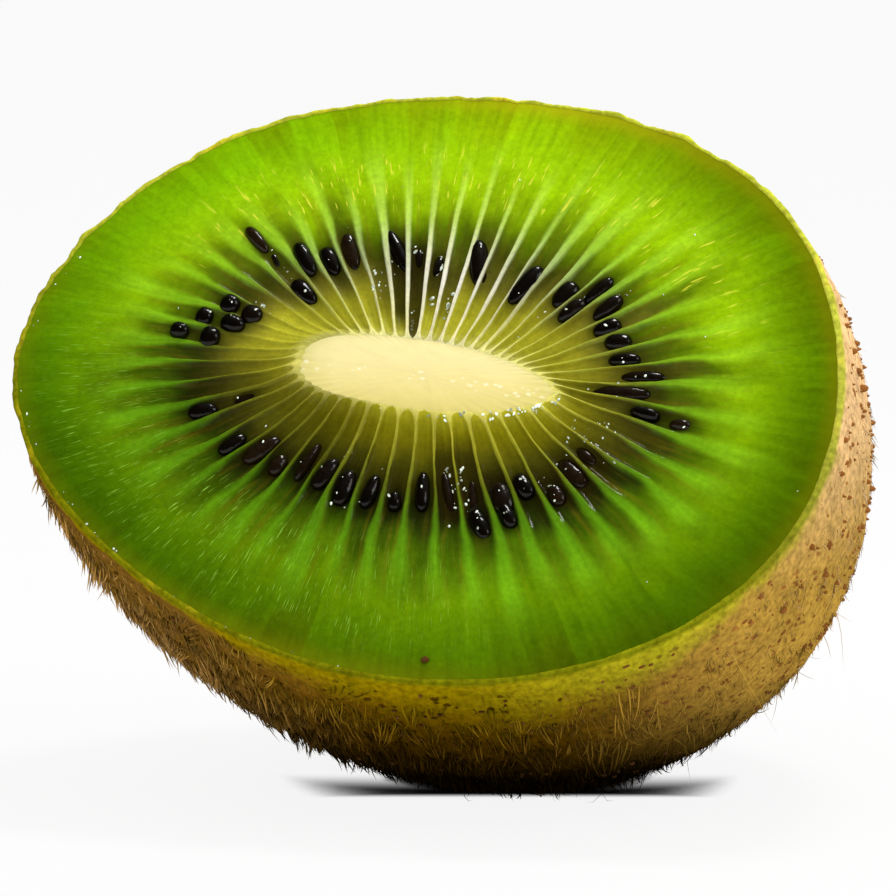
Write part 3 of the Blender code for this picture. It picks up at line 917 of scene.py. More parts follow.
def dotted(tree, tones, colour, share, place, felt, right):
    """Corky dots, a little drawn out, of uneven shape and size."""
    drawn = add(tree, "Mapping", {"Vector": place, "Scale": (1.0, 1.0, 1.5)})
    cells = add(tree, "TexVoronoi", drawn, 1.15 / MM)
    lot = add(tree, "SeparateColor", cells.outputs["Color"])
    size = ranged(tree, lot, 0.3, 1.0, 0.0, 0.3)
    away = plus(tree, cells, ranged(tree, felt, 0.3, 0.7, -0.06, 0.10))
    dot = ranged(tree, away, size, plus(tree, size, 0.12), 0.85, 0.0)
    some = add(tree, "Math", lot, 0.3, operation="GREATER_THAN")
    dot = times(tree, dot, some, ranged(tree, share, 0.012, 0.03))
    return blend(tree, dot, colour, blend(tree, right, tones.skin_dot, tones.dot_light))


def skin_material(tones):
    """Thin leathery skin: juice-green by the cut, tan beyond, with corky dots; painted light makes it lighter
    up and to the right, and painted shade darkens it towards the floor.
    """
    material, tree, shader = new_material("furry_skin", roughness=0.75, specular_ior_level=0.0)
    place = object_place(tree)
    x, y, z = separated(tree, place)
    share = separated(tree, add(tree, "UVMap", uv_map="rays"))[1]
    mottle = add(tree, "TexNoise", place, 0.35 / MM, 5.0, 0.6)
    felt = add(tree, "TexNoise", place, 2.4 / MM, 3.0)
    # Partly painted light: the skin is lighter upwards and on the right, partly its own paler tan.
    lit = blend(tree, eased(tree, z, 14 * MM, 28 * MM), tones.skin_gold, tones.skin_light)
    hidden = larger(tree, ranged(tree, x, 0.0, -14 * MM), ranged(tree, y, 2 * MM, 14 * MM))
    dark = blend(tree, hidden, tones.skin_dark, tones.skin_left)
    right = eased(tree, x, 9 * MM, 23 * MM)
    colour = blend(tree, right, dark, lit)
    colour = juicy_by_cut(tree, tones, colour, share, mottle, x, z)
    colour = cut_edge(tree, tones, colour, share, mottle, x)
    colour = dotted(tree, tones, colour, share, place, felt, right)
    # Painted shade: the skin darkens towards the floor to near black; mottle and felt make its tone uneven.
    light = eased(tree, z, 1.5 * MM, 11.5 * MM, 0.01)
    uneven = ranged(tree, mottle, 0.3, 0.7, 0.8, 1.18)
    light = times(tree, light, uneven, ranged(tree, felt, 0.3, 0.7, 0.68, 1.32))
    wire(tree, scaled(tree, colour, light), shader.inputs["Base Color"])
    add_relief(tree, shader, felt, 0.6, 0.1 * MM)
    return material


def hair_material(name, tones, root_tone, tip_tone):
    """Dry fibres: darker at the root, paler at the tip, greener by the cut, paler on the right and higher up
    partly as painted light, and darker towards the floor as painted shade.
    """
    material, tree, shader = new_material(name, roughness=0.6, specular_ior_level=0.0)
    tip = stored(tree, "tip")
    x, _, z = separated(tree, object_place(tree))
    colour = blend(tree, tip, root_tone, tip_tone)
    left = times(tree, ranged(tree, x, -2 * MM, -16 * MM, 0.0, 0.75), ranged(tree, tip, 0.2, 0.8))
    colour = blend(tree, left, colour, tones.hair_left)
    # Partly painted light: on the right and above the floor the hairs turn beige, paler still higher up.
    right = times(tree, ranged(tree, x, 6 * MM, 16 * MM, 0.0, 0.9), ranged(tree, z, 1.5 * MM, 5 * MM))
    beige = blend(tree, ranged(tree, z, 10 * MM, 24 * MM), tones.skin_gold, tones.hair_right)
    colour = blend(tree, right, colour, beige)
    by_cut = times(tree, stored(tree, "by_cut"), minus(tree, 1.0, right))
    by_cut = times(tree, by_cut, ranged(tree, x, -14 * MM, -2 * MM, 0.2))
    colour = blend(tree, by_cut, colour, tones.skin_near_cut)
    own = ranged(tree, stored(tree, "own"), 0.2, 0.8, 0.4, 1.6)
    # Painted shade: the hairs darken towards the floor; own gives each tuft its own tone.
    light = times(tree, own, eased(tree, z, 1.5 * MM, 10.5 * MM, 0.02))
    wire(tree, scaled(tree, colour, light), shader.inputs["Base Color"])
    return material


def seed_material(tones):
    """Wet seeds: near black, some brown, finely pitted under a glossy film of juice."""
    material, tree, shader = new_material(
        "wet_seeds", roughness=0.5, specular_ior_level=0.05, coat_weight=0.45, coat_roughness=0.04,
    )
    pits = add(tree, "TexNoise", object_place(tree), 3.0 / MM, 3.0)
    brown = times(tree, ranged(tree, stored(tree, "own"), 0.3, 1.0, 0.1), pits)
    wire(tree, blend(tree, brown, tones.seed, tones.seed_brown), shader.inputs["Base Color"])
    add_relief(tree, shader, pits, 0.6, 0.05 * MM, coated=True)
    return material


def glint_drop_material():
    """Juice in small drops, painted as glints: olive to white by a noise, and glowing faintly white so they
    shine from every side.
    """
    # Painted glints: the drops are olive to white and glow faintly white, though they are no lamp.
    material, tree, shader = new_material(
        "juice_glint_glow", roughness=0.1, emission_color=linear("#f4fff0"), emission_strength=0.2,
    )
    thick = add(tree, "TexNoise", object_place(tree), 1.8 / MM)
    colour = add(tree, "ValToRGB", thick, ramp=((0.4, "#5a6238"), (0.6, "#f4fff0")))
    wire(tree, colour, shader.inputs["Base Color"])
    return material


def wart_material(tones):
    """Dry cork: dark on the left and reddish on the right, each wart a little lighter or darker, and darker
    towards the floor as painted shade.
    """
    material, tree, shader = new_material("corky_warts", roughness=0.8, specular_ior_level=0.05)
    x, _, z = separated(tree, object_place(tree))
    right = ranged(tree, x, 6 * MM, 20 * MM, 0.0, 0.7)
    brown = add(tree, "Math", stored(tree, "own"), right, operation="ADD", use_clamp=True)
    colour = blend(tree, brown, tones.skin_dot, tones.dot_light)
    # Painted shade: warts darken towards the floor.
    light = ranged(tree, z, 0.0, 14 * MM, 0.1)
    wire(tree, scaled(tree, colour, light), shader.inputs["Base Color"])
    return material


def scar_material(tones):
    """Dry woody stalk scar: dark brown rings with corky specks."""
    material, tree, shader = new_material("woody_scar", roughness=0.85)
    wood = add(tree, "TexNoise", object_place(tree), 1.5 / MM, 4.0)
    wire(tree, blend(tree, wood, tones.scar, tones.skin_dark), shader.inputs["Base Color"])
    add_relief(tree, shader, wood, 0.7, 0.2 * MM)
    return material


def floor_material(stage):
    """Pale floor lit from below, dark where the fruit stands and greyer at both sides of that."""
    material, tree, shader = new_material(
        "pale_floor", base_color=stage.floor_colour, roughness=0.8, specular_ior_level=0.1,
        emission_color=WHITE,
    )
    open_air = add(tree, "AmbientOcclusion", {"Distance": stage.contact}, samples=8).outputs["AO"]
    close = eased(tree, open_air, 0.2, 0.85, 0.0, stage.glow)
    open_air = add(tree, "AmbientOcclusion", {"Distance": stage.soft_shadow}, samples=8).outputs["AO"]
    wide = eased(tree, open_air, 0.25, 0.95, 0.0, stage.glow)
    # The soft shadow is a low band: it ends in front of the contact and a little behind it.
    x, y, _ = separated(tree, object_place(tree))
    turn = math.radians(stage.round_angle)
    nearness = add(tree, "Math", y, -math.cos(turn), times(tree, x, math.sin(turn)), operation="MULTIPLY_ADD")
    behind = eased(tree, nearness, 5.5 * MM, -0.5 * MM, 0.0, stage.glow)
    front = eased(tree, nearness, 6.4 * MM, 8.0 * MM, 0.0, stage.glow)
    glow = add(tree, "Math", close, larger(tree, wide, behind), operation="MINIMUM")
    wire(tree, larger(tree, glow, front), shader.inputs["Emission Strength"])
    return material


# Rows and columns of the sheets that wrap into shells.
SKIN_SHARE = 0.991  # share along a ray where the flesh ends, inside the skin
FLESH_SHARES = np.concatenate([
    (-1.0, -0.5),
    np.linspace(0.0, 0.06, 9),
    np.linspace(0.06, 0.56, 58)[1:],
    np.linspace(0.56, SKIN_SHARE - 0.002, 40)[1:],
    (SKIN_SHARE,),
    1 + np.linspace(0.0, 1.0, 14),
])
CORE_ROWS = np.concatenate([np.linspace(0.0, 0.9, 14), (0.95, 0.98, 1.0), np.linspace(1.1, 2.0, 5)])
CORE_EDGE_SHARE = 0.012
CORE_COLUMNS_PER_RAY = 8
SKIN_INNER_ROWS = 9
SKIN_OUTER_ROWS = 120
SKIN_COLUMNS_PER_RAY = 9


def seed_places(sizes):
    """Each seed's middle on the face, the way it lies, its length, its width and its brownness."""
    rows = seed_rows()
    draw = np.random.default_rng(sizes.draw + 3)
    flat = ray_points(rows[:, 0], rows[:, 1], sizes)
    along = ray_points(rows[:, 0], rows[:, 1] + 0.05, sizes) - flat
    along /= np.linalg.norm(along, axis=1)[:, None]
    swing = np.radians(draw.normal(0, sizes.seed_swing, len(rows)))[:, None]
    across = np.stack([-along[:, 1], along[:, 0]], axis=-1)
    along = along * np.cos(swing) + across * np.sin(swing)
    sunk = sizes.seed_sink * (3 * draw.random(len(rows)) ** 2 - 2) + rows[:, 5] * MM
    height = face_height(rows[:, 0], rows[:, 1], sizes) - sunk
    seeds = np.concatenate([flat, height[:, None]], axis=1)
    long = rows[:, 2] * rows[:, 3] * sizes.seed_length
    wide = rows[:, 4] * sizes.seed_width * draw.uniform(0.82, 1.1, len(rows))
    return seeds, along, long, wide, rows[:, 6]


def seed_gel(points, share, sizes):
    """How near each point of the face is to a seed and to a brown one, from 0 to 1: the first darkens the gel
    round the seeds, partly as painted shade.
    """
    seeds, along, long, wide, brownness = seed_places(sizes)
    near = np.zeros(len(points))
    stain = np.zeros(len(points))
    for seed, (x, y), seed_long, seed_wide, brown in zip(seeds[:, :2], along, long, wide, brownness):
        forth = (points - seed) @ (x, y) / (0.3 * MM + 0.6 * seed_long)
        aside = (points - seed) @ (-y, x) / (0.2 * MM + 0.55 * seed_wide)
        here = np.exp(-(forth**2) - aside**2)
        near = np.maximum(near, here * (1 - 0.6 * brown))
        stain = np.maximum(stain, here * brown)
    return near * (share > 0), stain * (share > 0)


def murk(ray, share):
    """How brown the gel of each pocket is, from 0 to 1."""
    table = np.array([MURKY_POCKETS.get(pocket, (0.2, 0.4, 0.0)) for pocket in range(RAYS)])
    start, end, most = table[np.floor(ray).astype(int) % RAYS].T
    return most * smooth(start - 0.05, start + 0.09, share) * (1 - smooth(end - 0.08, end + 0.04, share))


def make_flesh(sizes, tones):
    """The flesh: the cut face with its rays, closed under the core and inside the skin."""
    per_ray = len(COLUMN_PLACES)
    data, column, row = wrapped_sheet("flesh", RAYS * per_ray, len(FLESH_SHARES) - 1)
    ray = column // per_ray + np.take(COLUMN_PLACES, column % per_ray)
    share = FLESH_SHARES[row]
    on_face = np.clip(share, 0.0, SKIN_SHARE)
    flat = ray_points(ray, on_face, sizes)
    height = face_height(ray, on_face, sizes)
    turn = 2 * math.pi * ray / RAYS
    # Relief drawn out along the rays, and round lumps.
    fibres = np.stack([24 * np.cos(turn), 24 * np.sin(turn), 6 * share], axis=-1)
    lumps = np.stack([flat[:, 0], flat[:, 1], np.zeros(len(flat))], axis=-1)
    outside = smooth(0.05, 0.2, on_face) * (1 - smooth(0.97, 1.0, on_face))
    height += sizes.fibre_relief * outside * (rough(fibres, 1.0) + rough(lumps, 1.1 * MM))
    spread = rim_spread(ray, sizes)[2]
    outwards = rim_points(rim_angles(ray)) - core_points(ray)
    outwards /= np.linalg.norm(outwards, axis=1)[:, None]
    flat = flat + outwards * (spread * smooth(0.8, 1.0, share))[:, None]
    middle = CORE_CENTRE + (flat - CORE_CENTRE) * np.clip(1 + share, 0.0, 1.0)[:, None]
    under_core = share < 0
    flat = np.where(under_core[:, None], middle, flat)
    height = np.where(under_core, height - 0.4 * MM, height)
    points = np.concatenate([flat, height[:, None]], axis=1)
    # Behind the cut it meets the skin's middle at the rim, and lies inside its lining further down.
    depth = depth_at(np.clip(share - 1, 0.0, 1.0))
    at_cut = 1 - smooth(0.0, TORN_DEPTH, depth)
    inset = sizes.skin * (0.5 + 0.9 * smooth(0.5 * MM, 5.0 * MM, depth))
    body = skin_points(rim_angles(ray), depth, inset - spread * at_cut)
    body[:, 2] -= rim_drop(depth)
    points = np.where((share >= 1)[:, None], body, points)
    data.vertices.foreach_set("co", placed(points, 0.8 * sizes.skin).astype(np.float32).ravel())
    map_rays(data, ray, share)
    keep(data, "wall", wall_half_width(ray, on_face, sizes))
    # Nearness to the seeds darkens the gel there, partly as painted shade.
    gel, stain = seed_gel(flat, share, sizes)
    keep(data, "gel", gel)
    keep(data, "stain", np.maximum(stain, murk(ray, share) * (share > 0)))
    keep(data, "showing", wall_showing(ray, on_face))
    keep(data, "pale", paleness(ray))
    close_shell(data)
    show("flesh", data, flesh_material(tones), replaced=True)


def make_core(sizes, tones):
    """The pale core: a low mound whose edge runs out into the walls between the pockets."""
    data, column, row = wrapped_sheet("core", RAYS * CORE_COLUMNS_PER_RAY, len(CORE_ROWS) - 1)
    ray = column / CORE_COLUMNS_PER_RAY
    out = np.where(CORE_ROWS[row] > 1, 2 - CORE_ROWS[row], CORE_ROWS[row])
    top = CORE_ROWS[row] <= 1
    edge_share = np.full(len(ray), CORE_EDGE_SHARE)
    edge = ray_points(ray, edge_share, sizes)
    edge_height = face_height(ray, edge_share, sizes) - 0.03 * MM
    flat = CORE_CENTRE + (edge - CORE_CENTRE) * out[:, None]
    grain = rough(np.concatenate([flat, np.zeros((len(flat), 1))], axis=1), 1.4 * MM) * 0.04 * MM
    mound = (CORE_RISE + sizes.core_bulge * (1 - out**2) + grain - edge_height) * (1 - out**8)
    height = edge_height + np.where(top, mound, -0.5 * MM * (1 - out**4))
    points = np.concatenate([flat, height[:, None]], axis=1)
    data.vertices.foreach_set("co", placed(points).astype(np.float32).ravel())
    map_rays(data, ray, out)
    keep(data, "aside", (flat[:, 1] - CORE_CENTRE[1]) / MM + 0.25)
    close_shell(data)
    show("core", data, core_material(tones))


def make_skin(sizes, tones):
    """The skin: a thin shell with a torn, rounded cut edge, uneven outside and flat where it rests."""
    rows = SKIN_INNER_ROWS + SKIN_OUTER_ROWS + 2
    data, column, row = wrapped_sheet("skin", RAYS * SKIN_COLUMNS_PER_RAY, rows)
    ray = column / SKIN_COLUMNS_PER_RAY
    inner = row < SKIN_INNER_ROWS
    lip = np.clip((row - SKIN_INNER_ROWS + 1) / 3, 0.0, 1.0)
    down_inside = 1 - row / (SKIN_INNER_ROWS - 1)
    down_outside = np.clip((row - SKIN_INNER_ROWS - 2) / SKIN_OUTER_ROWS, 0.0, 1.0)
    share = np.where(inner, down_inside, down_outside)
    depth = depth_at(share)
    # The cut edge is torn and thinner at the top and left, where it spreads a little.
    tear, upper_left, spread = rim_spread(ray, sizes)
    at_cut = 1 - smooth(0.0, TORN_DEPTH, depth)
    thick = sizes.skin * (1 + (0.35 * tear - 0.3 * upper_left) * at_cut)
    outside = skin_points(rim_angles(ray), depth, -spread * at_cut)
    lining = skin_points(rim_angles(ray), depth, thick - spread * at_cut)
    points = lining + (outside - lining) * np.where(inner, 0.0, lip)[:, None]
    points[:, 2] -= rim_drop(depth)
    points[:, 2] += sizes.lip * (1 + tear) * (1 - smooth(0.0, 0.8 * MM, depth)) * (lip > 0)
    points[:, 2] += 0.5 * sizes.lip * np.sin(math.pi * lip) * (down_outside == 0)
    # A low ring rises round the stalk scar.
    from_pole = np.linalg.norm(points[:, :2] - BODY_DEPTH * np.array(AXIS_LEAN), axis=1)
    ring = np.exp(-(((from_pole - 2.6 * MM) / (0.5 * MM)) ** 2)) * (depth > 0.9 * BODY_DEPTH)
    points[:, 2] -= 0.2 * MM * ring * ~inner
    spots = placed(points, np.where(inner, sizes.skin, 0.0))
    data.vertices.foreach_set("co", spots.astype(np.float32).ravel())
    map_rays(data, ray, share)
    uneven = sizes.skin_bumps * smooth(0.0, 0.05, down_outside)
    uneven *= rough(spots, 2.6 * MM, 2) + 0.45 * rough(spots, 0.7 * MM, 2)
    keep(data, "swell", uneven)
    close_shell(data)
    swell = np.empty(len(data.vertices), np.float32)
    data.attributes["swell"].data.foreach_get("value", swell)
    spots = corner_places(data) + corner_normals(data) * swell[:, None]
    spots[:, 2] = np.maximum(spots[:, 2], 0.0)
    data.vertices.foreach_set("co", spots.astype(np.float32).ravel())
    data.attributes.remove(data.attributes["swell"])
    data.update()
    show("skin", data, skin_material(tones))


def joined(name, template, stretches, turns, places):
    """Many copies of one small bmesh as a single mesh, each stretched, turned and placed."""
    shape = np.array([corner.co for corner in template.verts])
    sides = sorted([corner.index for corner in face.verts] for face in template.faces)
    spots = np.einsum("nij,nkj->nki", turns, shape[None] * stretches[:, None]) + places[:, None]
    starts = range(0, len(places) * len(shape), len(shape))
    faces = [[start + corner for corner in side] for start in starts for side in sides]
    data = bpy.data.meshes.new(name)
    data.from_pydata(spots.reshape(-1, 3).tolist(), [], faces)
    data.shade_smooth()
    return data, len(shape)


def turns_along(along):
    """Matrices that turn x along a direction on the face and z out of it, for many directions."""
    x = along / np.linalg.norm(along, axis=1)[:, None]
    y = np.stack([-x[:, 1], x[:, 0]], axis=-1)
    flat = np.zeros((len(x), 3, 3))
    flat[:, :2, 0] = x
    flat[:, :2, 1] = y
    flat[:, 2, 2] = 1
    return np.array(to_place())[:3, :3] @ flat


def make_seeds(sizes, tones):
    """Flattened drops, blunt outwards and pointed towards the core, sunk in their pockets."""
    template = bmesh.new()
    bmesh.ops.create_uvsphere(template, u_segments=18, v_segments=14, radius=1)
    quarter = Matrix.Rotation(math.radians(90), 3, "Y")
    bmesh.ops.rotate(template, cent=(0, 0, 0), matrix=quarter, verts=template.verts)
    for corner in template.verts:
        tapered = 1 - 0.2 * (0.5 - 0.5 * corner.co.x) ** 2
        full = (1 - min(1.0, abs(corner.co.x)) ** 2.8) ** 0.45 * tapered
        blunt = full / max(0.05, math.hypot(corner.co.y, corner.co.z))
        corner.co.y *= blunt
        corner.co.z *= blunt * (1 + 0.03 * math.sin(9 * corner.co.x))
    seeds, along, long, wide, brown = seed_places(sizes)
    draw = np.random.default_rng(sizes.draw)
    half = np.stack([long, wide, np.full(len(seeds), sizes.seed_height)], axis=-1) / 2
    data, corners = joined("seeds", template, half, turns_along(along), placed(seeds))
    template.free()
    keep(data, "own", np.repeat(np.maximum(0.4 * draw.random(len(seeds)), brown), corners))
    show("seeds", data, seed_material(tones))


def make_glint_drops(sizes):
    """Drops of juice painted as glints: on the seeds and among them, by the core's right end and along the
    rim's left.
    """
    template = bmesh.new()
    bmesh.ops.create_icosphere(template, subdivisions=1, radius=1)
    for corner in template.verts:
        corner.co *= 1 + 0.35 * noise.noise(3 * corner.co)
    draw = np.random.default_rng(sizes.draw + 5)
    drops = []
    for ray, ray_spread, share, share_spread, count, size in JUICE_GLINTS:
        many = round(count * sizes.juice)
        rays = draw.normal(ray, ray_spread, many)
        shares = draw.normal(share, share_spread, many)
        drops.append(np.stack([rays, shares, size * draw.uniform(0.35, 1.0, many) ** 1.7], axis=-1))
    rays, shares, size = np.concatenate(drops).T
    rays = rays % RAYS
    shares = np.clip(shares, 0.0, 0.985)
    drops = np.column_stack([ray_points(rays, shares, sizes), face_height(rays, shares, sizes), size])
    # Others lie on the seeds, as painted glints there.
    seeds, along, long, _, _ = seed_places(sizes)
    on_seed = draw.integers(0, len(seeds), sizes.seed_glint_drops)
    forth = draw.normal(0, 0.24, sizes.seed_glint_drops) * long[on_seed]
    aside = draw.normal(-0.08, 0.1, sizes.seed_glint_drops) * sizes.seed_width
    across = np.stack([-along[:, 1], along[:, 0]], axis=-1)
    flat = seeds[on_seed, :2] + along[on_seed] * forth[:, None] + across[on_seed] * aside[:, None]
    lie = np.clip(2 * forth / long[on_seed], -0.95, 0.95)
    height = seeds[on_seed, 2] + 0.47 * sizes.seed_height * np.sqrt(1 - lie**2)
    size = 0.6 * draw.uniform(0.4, 1.0, sizes.seed_glint_drops) ** 1.5
    drops = np.concatenate([drops, np.column_stack([flat, height, size])])
    size = sizes.glint_drop_size * drops[:, 3]
    half = np.stack([size * draw.uniform(0.8, 2.2, len(size)), size, 0.6 * size], axis=-1)
    turn = draw.normal(0.5 * math.pi, 0.7, len(size))
    lie = turns_along(np.stack([np.cos(turn), np.sin(turn)], axis=-1))
    data, _ = joined("juice_glint_drops", template, half, lie, placed(drops[:, :3]))
    template.free()
    show("juice_glint_drops", data, glint_drop_material())


CRUMB_PLACE = (np.array([40.75]), np.array([0.92]))  # ray number and share of the crumb on the flesh
CRUMB_HALF_SIZE = (0.3 * MM, 0.24 * MM, 0.12 * MM)


def make_warts(sizes, tones):
    """Corky warts: small brown lumps of the skin, drawn out sideways, most of them on the right."""
    template = bmesh.new()
    bmesh.ops.create_uvsphere(template, u_segments=7, v_segments=4, radius=1)
    for corner in template.verts:
        corner.co *= 1 + 0.3 * noise.noise(2 * corner.co)
    draw = np.random.default_rng(sizes.draw + 8)

    def mostly_right(here, share):
        """More on the right than on the left, and none right by the cut."""
        return (0.25 + 0.75 * smooth(-10 * MM, 14 * MM, here[:, 0])) * smooth(0.01, 0.03, share)

    root, out, down, _ = skin_spots(sizes.warts, mostly_right, draw)
    side = np.cross(out, down)
    many = len(root)
    size = sizes.wart * draw.uniform(0.35, 1.0, many) ** 1.5 * smooth(0.2 * MM, 2 * MM, root[:, 2])
    taller = 1 + smooth(21 * MM, 26 * MM, root[:, 0])
    stretches = [draw.uniform(low, high, many) for low, high in ((0.5, 1.0), (0.8, 1.9), (0.6, 1.3))]
    half = size[:, None] * np.stack(stretches, axis=-1)
    half[:, 2] *= taller
    turns = np.stack([down, side, out], axis=-1)
    # A crumb of the skin's cork lies on the flesh near the lower rim.
    crumb = ray_points(*CRUMB_PLACE, sizes)
    root = np.concatenate([root, placed(np.column_stack([crumb, 0.1 * MM]))])
    half = np.concatenate([half, [CRUMB_HALF_SIZE]])
    turns = np.concatenate([turns, turns_along(np.array([[1.0, 0.2]]))])
    data, corners = joined("skin_warts", template, half, turns, root)
    template.free()
    keep(data, "own", np.repeat(draw.random(len(root)), corners))
    show("skin_warts", data, wart_material(tones))


TRIES_PER_SPOT = 6  # random tries for each point of the skin that is wanted


def skin_spots(count, weight, draw):
    """Random points of the skin, the ways out of it and down along it, and their shares of its depth."""
    tries = count * TRIES_PER_SPOT
    ray = draw.uniform(0, RAYS, tries)
    share = draw.uniform(0.004, 0.995, tries)

    def spots_at(rays, shares):
        """Points of the skin at ray numbers and shares of the way to the far end."""
        depth = depth_at(shares)
        points = skin_points(rim_angles(rays), depth)
        points[:, 2] -= rim_drop(depth)
        return placed(points, -math.inf)

    here = spots_at(ray, share)
    round_skin = spots_at(ray + 0.01, share) - here
    down_skin = spots_at(ray, share + 0.001) - here
    out = np.cross(down_skin, round_skin)
    area = np.linalg.norm(out, axis=1)
    odds = area / area.max() * weight(here, share) * (here[:, 2] > 0.15 * MM)
    chosen = np.flatnonzero(draw.random(tries) < odds * count / odds.sum())[:count]
    out = out[chosen] / area[chosen][:, None]
    middle = np.array(to_place() @ Vector((0, 0, -0.3 * BODY_DEPTH)))
    out *= np.sign(np.sum(out * (here[chosen] - middle), axis=1))[:, None]
    down = down_skin[chosen] / np.linalg.norm(down_skin[chosen], axis=1)[:, None]
    return here[chosen], out, down, share[chosen]


HAIRS_IN_TUFT = 7
CLUMP = 1.6 * MM  # over this distance hairs lean and grow alike
CLUMP_SHIFTS = (9.3, 0.0, 6.3)  # where rise, sway and length read their noise
HAIR_MARGIN = 1.25 * MM  # how far hairs may reach beyond the part's box
HAIR_ROOT = 0.08 * MM  # how deep hairs are rooted
HAIR_LOWEST = 0.03 * MM  # how close to the ground their lines may come


def hair_lines(count, long, knees, habit, weight, draw):
    """Points along each hair, its first direction, its tuft's leader and its share of the skin's depth.

    Knees are shares of a hair's length. Habit says how far hairs stand off the skin, how far they
    stray from its slope, how strongly they bend, and how far the tips of a tuft are drawn together.
    """
    lift, mess, curl, gather = habit
    root, out, down, share = skin_spots(count, weight, draw)
    many = len(root)
    side = np.cross(out, down)
    clump = np.stack(
        [[noise.noise(Vector(spot)) for spot in root / CLUMP + shift] for shift in CLUMP_SHIFTS], axis=-1
    )
    rise = np.clip(draw.normal(lift, 0.22, (many, 1)) + 0.5 * clump[:, :1], 0.12, 1.3)
    sway = draw.normal(0, mess, (many, 1)) + 0.35 * clump[:, 1:2]
    start = rise * out + 0.9 * down + sway * side + (0, 0, -0.25)
    start /= np.linalg.norm(start, axis=1)[:, None]
    bend = curl * (0.4 * down - 0.3 * out + draw.normal(0, 0.3, (many, 3)) + (0, 0, -0.15))
    reach = long * draw.uniform(0.5, 1.25, (many, 1)) * (1 + 0.4 * clump[:, 2:])
    reach *= 0.4 + 0.6 * smooth(0.0, 0.10, share)[:, None]
    tufts = kdtree.KDTree(many // HAIRS_IN_TUFT + 1)
    for leader in range(0, many, HAIRS_IN_TUFT):
        tufts.insert(root[leader], leader)
    tufts.balance()
    leaders = np.array([tufts.find(spot)[1] for spot in root])
    end = root + reach * (start + bend)
    pull = gather * (end[leaders] - end)
    steps = np.array((0.0, *knees, 1.0))[None, :, None]
    line = (root - HAIR_ROOT * out)[:, None] + steps * (reach * start)[:, None]
    line += steps**2 * (reach * bend + pull)[:, None]
    line = np.clip(line, np.array(CAD_BOX[0]) - HAIR_MARGIN, np.array(CAD_BOX[1]) + HAIR_MARGIN)
    line[:, :, 2] = np.maximum(line[:, :, 2], HAIR_LOWEST)
    return line, start, leaders, share


def hair_faces(knees):
    """One hair's triangles: its closed root, its pointed tip and the sides between its rings."""
    last = 3 * knees
    faces = [(0, 2, 1), *((last + near, last + (near + 1) % 3, last + 3) for near in range(3))]
    for ring in range(0, last, 3):
        for near in range(3):
            far = (near + 1) % 3
            faces.append((ring + near, ring + far, ring + far + 3))
            faces.append((ring + near, ring + far + 3, ring + near + 3))
    return np.array(faces)


def make_hairs(name, count, long, wide, knees, habit, weight, material, draw):
    """One kind of hair: three-sided tapering fibres that lean down along the skin, bent at their knees."""
    line, start, leaders, share = hair_lines(count, long, knees, habit, weight, draw)
    many = len(line)
    across = np.cross(start, draw.normal(0, 1, (many, 3)))
    across /= np.linalg.norm(across, axis=1)[:, None]
    other = np.cross(start, across)
    steps = np.array((0.0, *knees))
    thinning = (1 - 0.6 * steps)[None, :, None, None]
    thick = 0.5 * wide * draw.uniform(0.7, 1.3, (many, 1, 1, 1)) * thinning
    angle = np.radians((0, 120, 240))
    circle = np.cos(angle)[:, None] * across[:, None, :] + np.sin(angle)[:, None] * other[:, None, :]
    rings = line[:, :-1, None] + thick * circle[:, None]
    per_hair = 3 * len(steps) + 1
    corners = np.concatenate([rings.reshape(many, -1, 3), line[:, -1:]], axis=1)
    starts = per_hair * np.arange(many)[:, None, None]
    faces = (hair_faces(len(knees))[None] + starts).reshape(-1, 3)
    data = bpy.data.meshes.new(name)
    data.from_pydata(corners.reshape(-1, 3).tolist(), [], faces.tolist())
    data.shade_smooth()
    keep(data, "tip", np.tile([*np.repeat(steps, 3), 1.0], many))
    own = draw.random(many)
    keep(data, "own", np.repeat(0.4 * own + 0.6 * own[leaders], per_hair))
    keep(data, "by_cut", np.repeat(0.7 * (1 - smooth(0.03, 0.15, share)), per_hair))
    show(name, data, material)


# Half the stalk scar's section: millimetres from its middle and above the skin.
SCAR_SECTION = (
    (0.02, 0.10), (0.5, 0.22), (1.0, 0.10), (1.5, 0.26), (1.95, 0.12), (2.1, -0.2), (1.2, -0.5),
    (0.02, -0.5),
)


def make_scar(tones):
    """The dry stalk scar at the far end: a spun woody button with a raised rim."""
    mesh = bmesh.new()
    corners = [bmesh.ops.create_vert(mesh, co=(x * MM, 0, z * MM))["vert"][0] for x, z in SCAR_SECTION]
    edges = [mesh.edges.new(pair) for pair in zip(corners, corners[1:])]
    bmesh.ops.spin(mesh, geom=corners + edges, cent=(0, 0, 0), axis=(0, 0, 1), dvec=(0, 0, 0),
                   angle=2 * math.pi, steps=48, use_merge=True, use_duplicate=False)
    bmesh.ops.holes_fill(mesh, edges=[edge for edge in mesh.edges if edge.is_boundary], sides=60)
    for corner in mesh.verts:
        corner.co *= 1 + 0.05 * noise.noise(corner.co / (0.6 * MM))
    bmesh.ops.recalc_face_normals(mesh, faces=mesh.faces)
    end = skin_points(np.array([0.0]), np.array([BODY_DEPTH * 0.9999]))[0]
    lie = to_place() @ Matrix.Translation(Vector(end)) @ Matrix.Rotation(math.pi, 4, "X")
    bmesh.ops.transform(mesh, matrix=lie, verts=mesh.verts)
    data = bpy.data.meshes.new("stalk_scar")
    mesh.to_mesh(data)
    mesh.free()
    data.shade_smooth()
    show("stalk_scar", data, scar_material(tones))


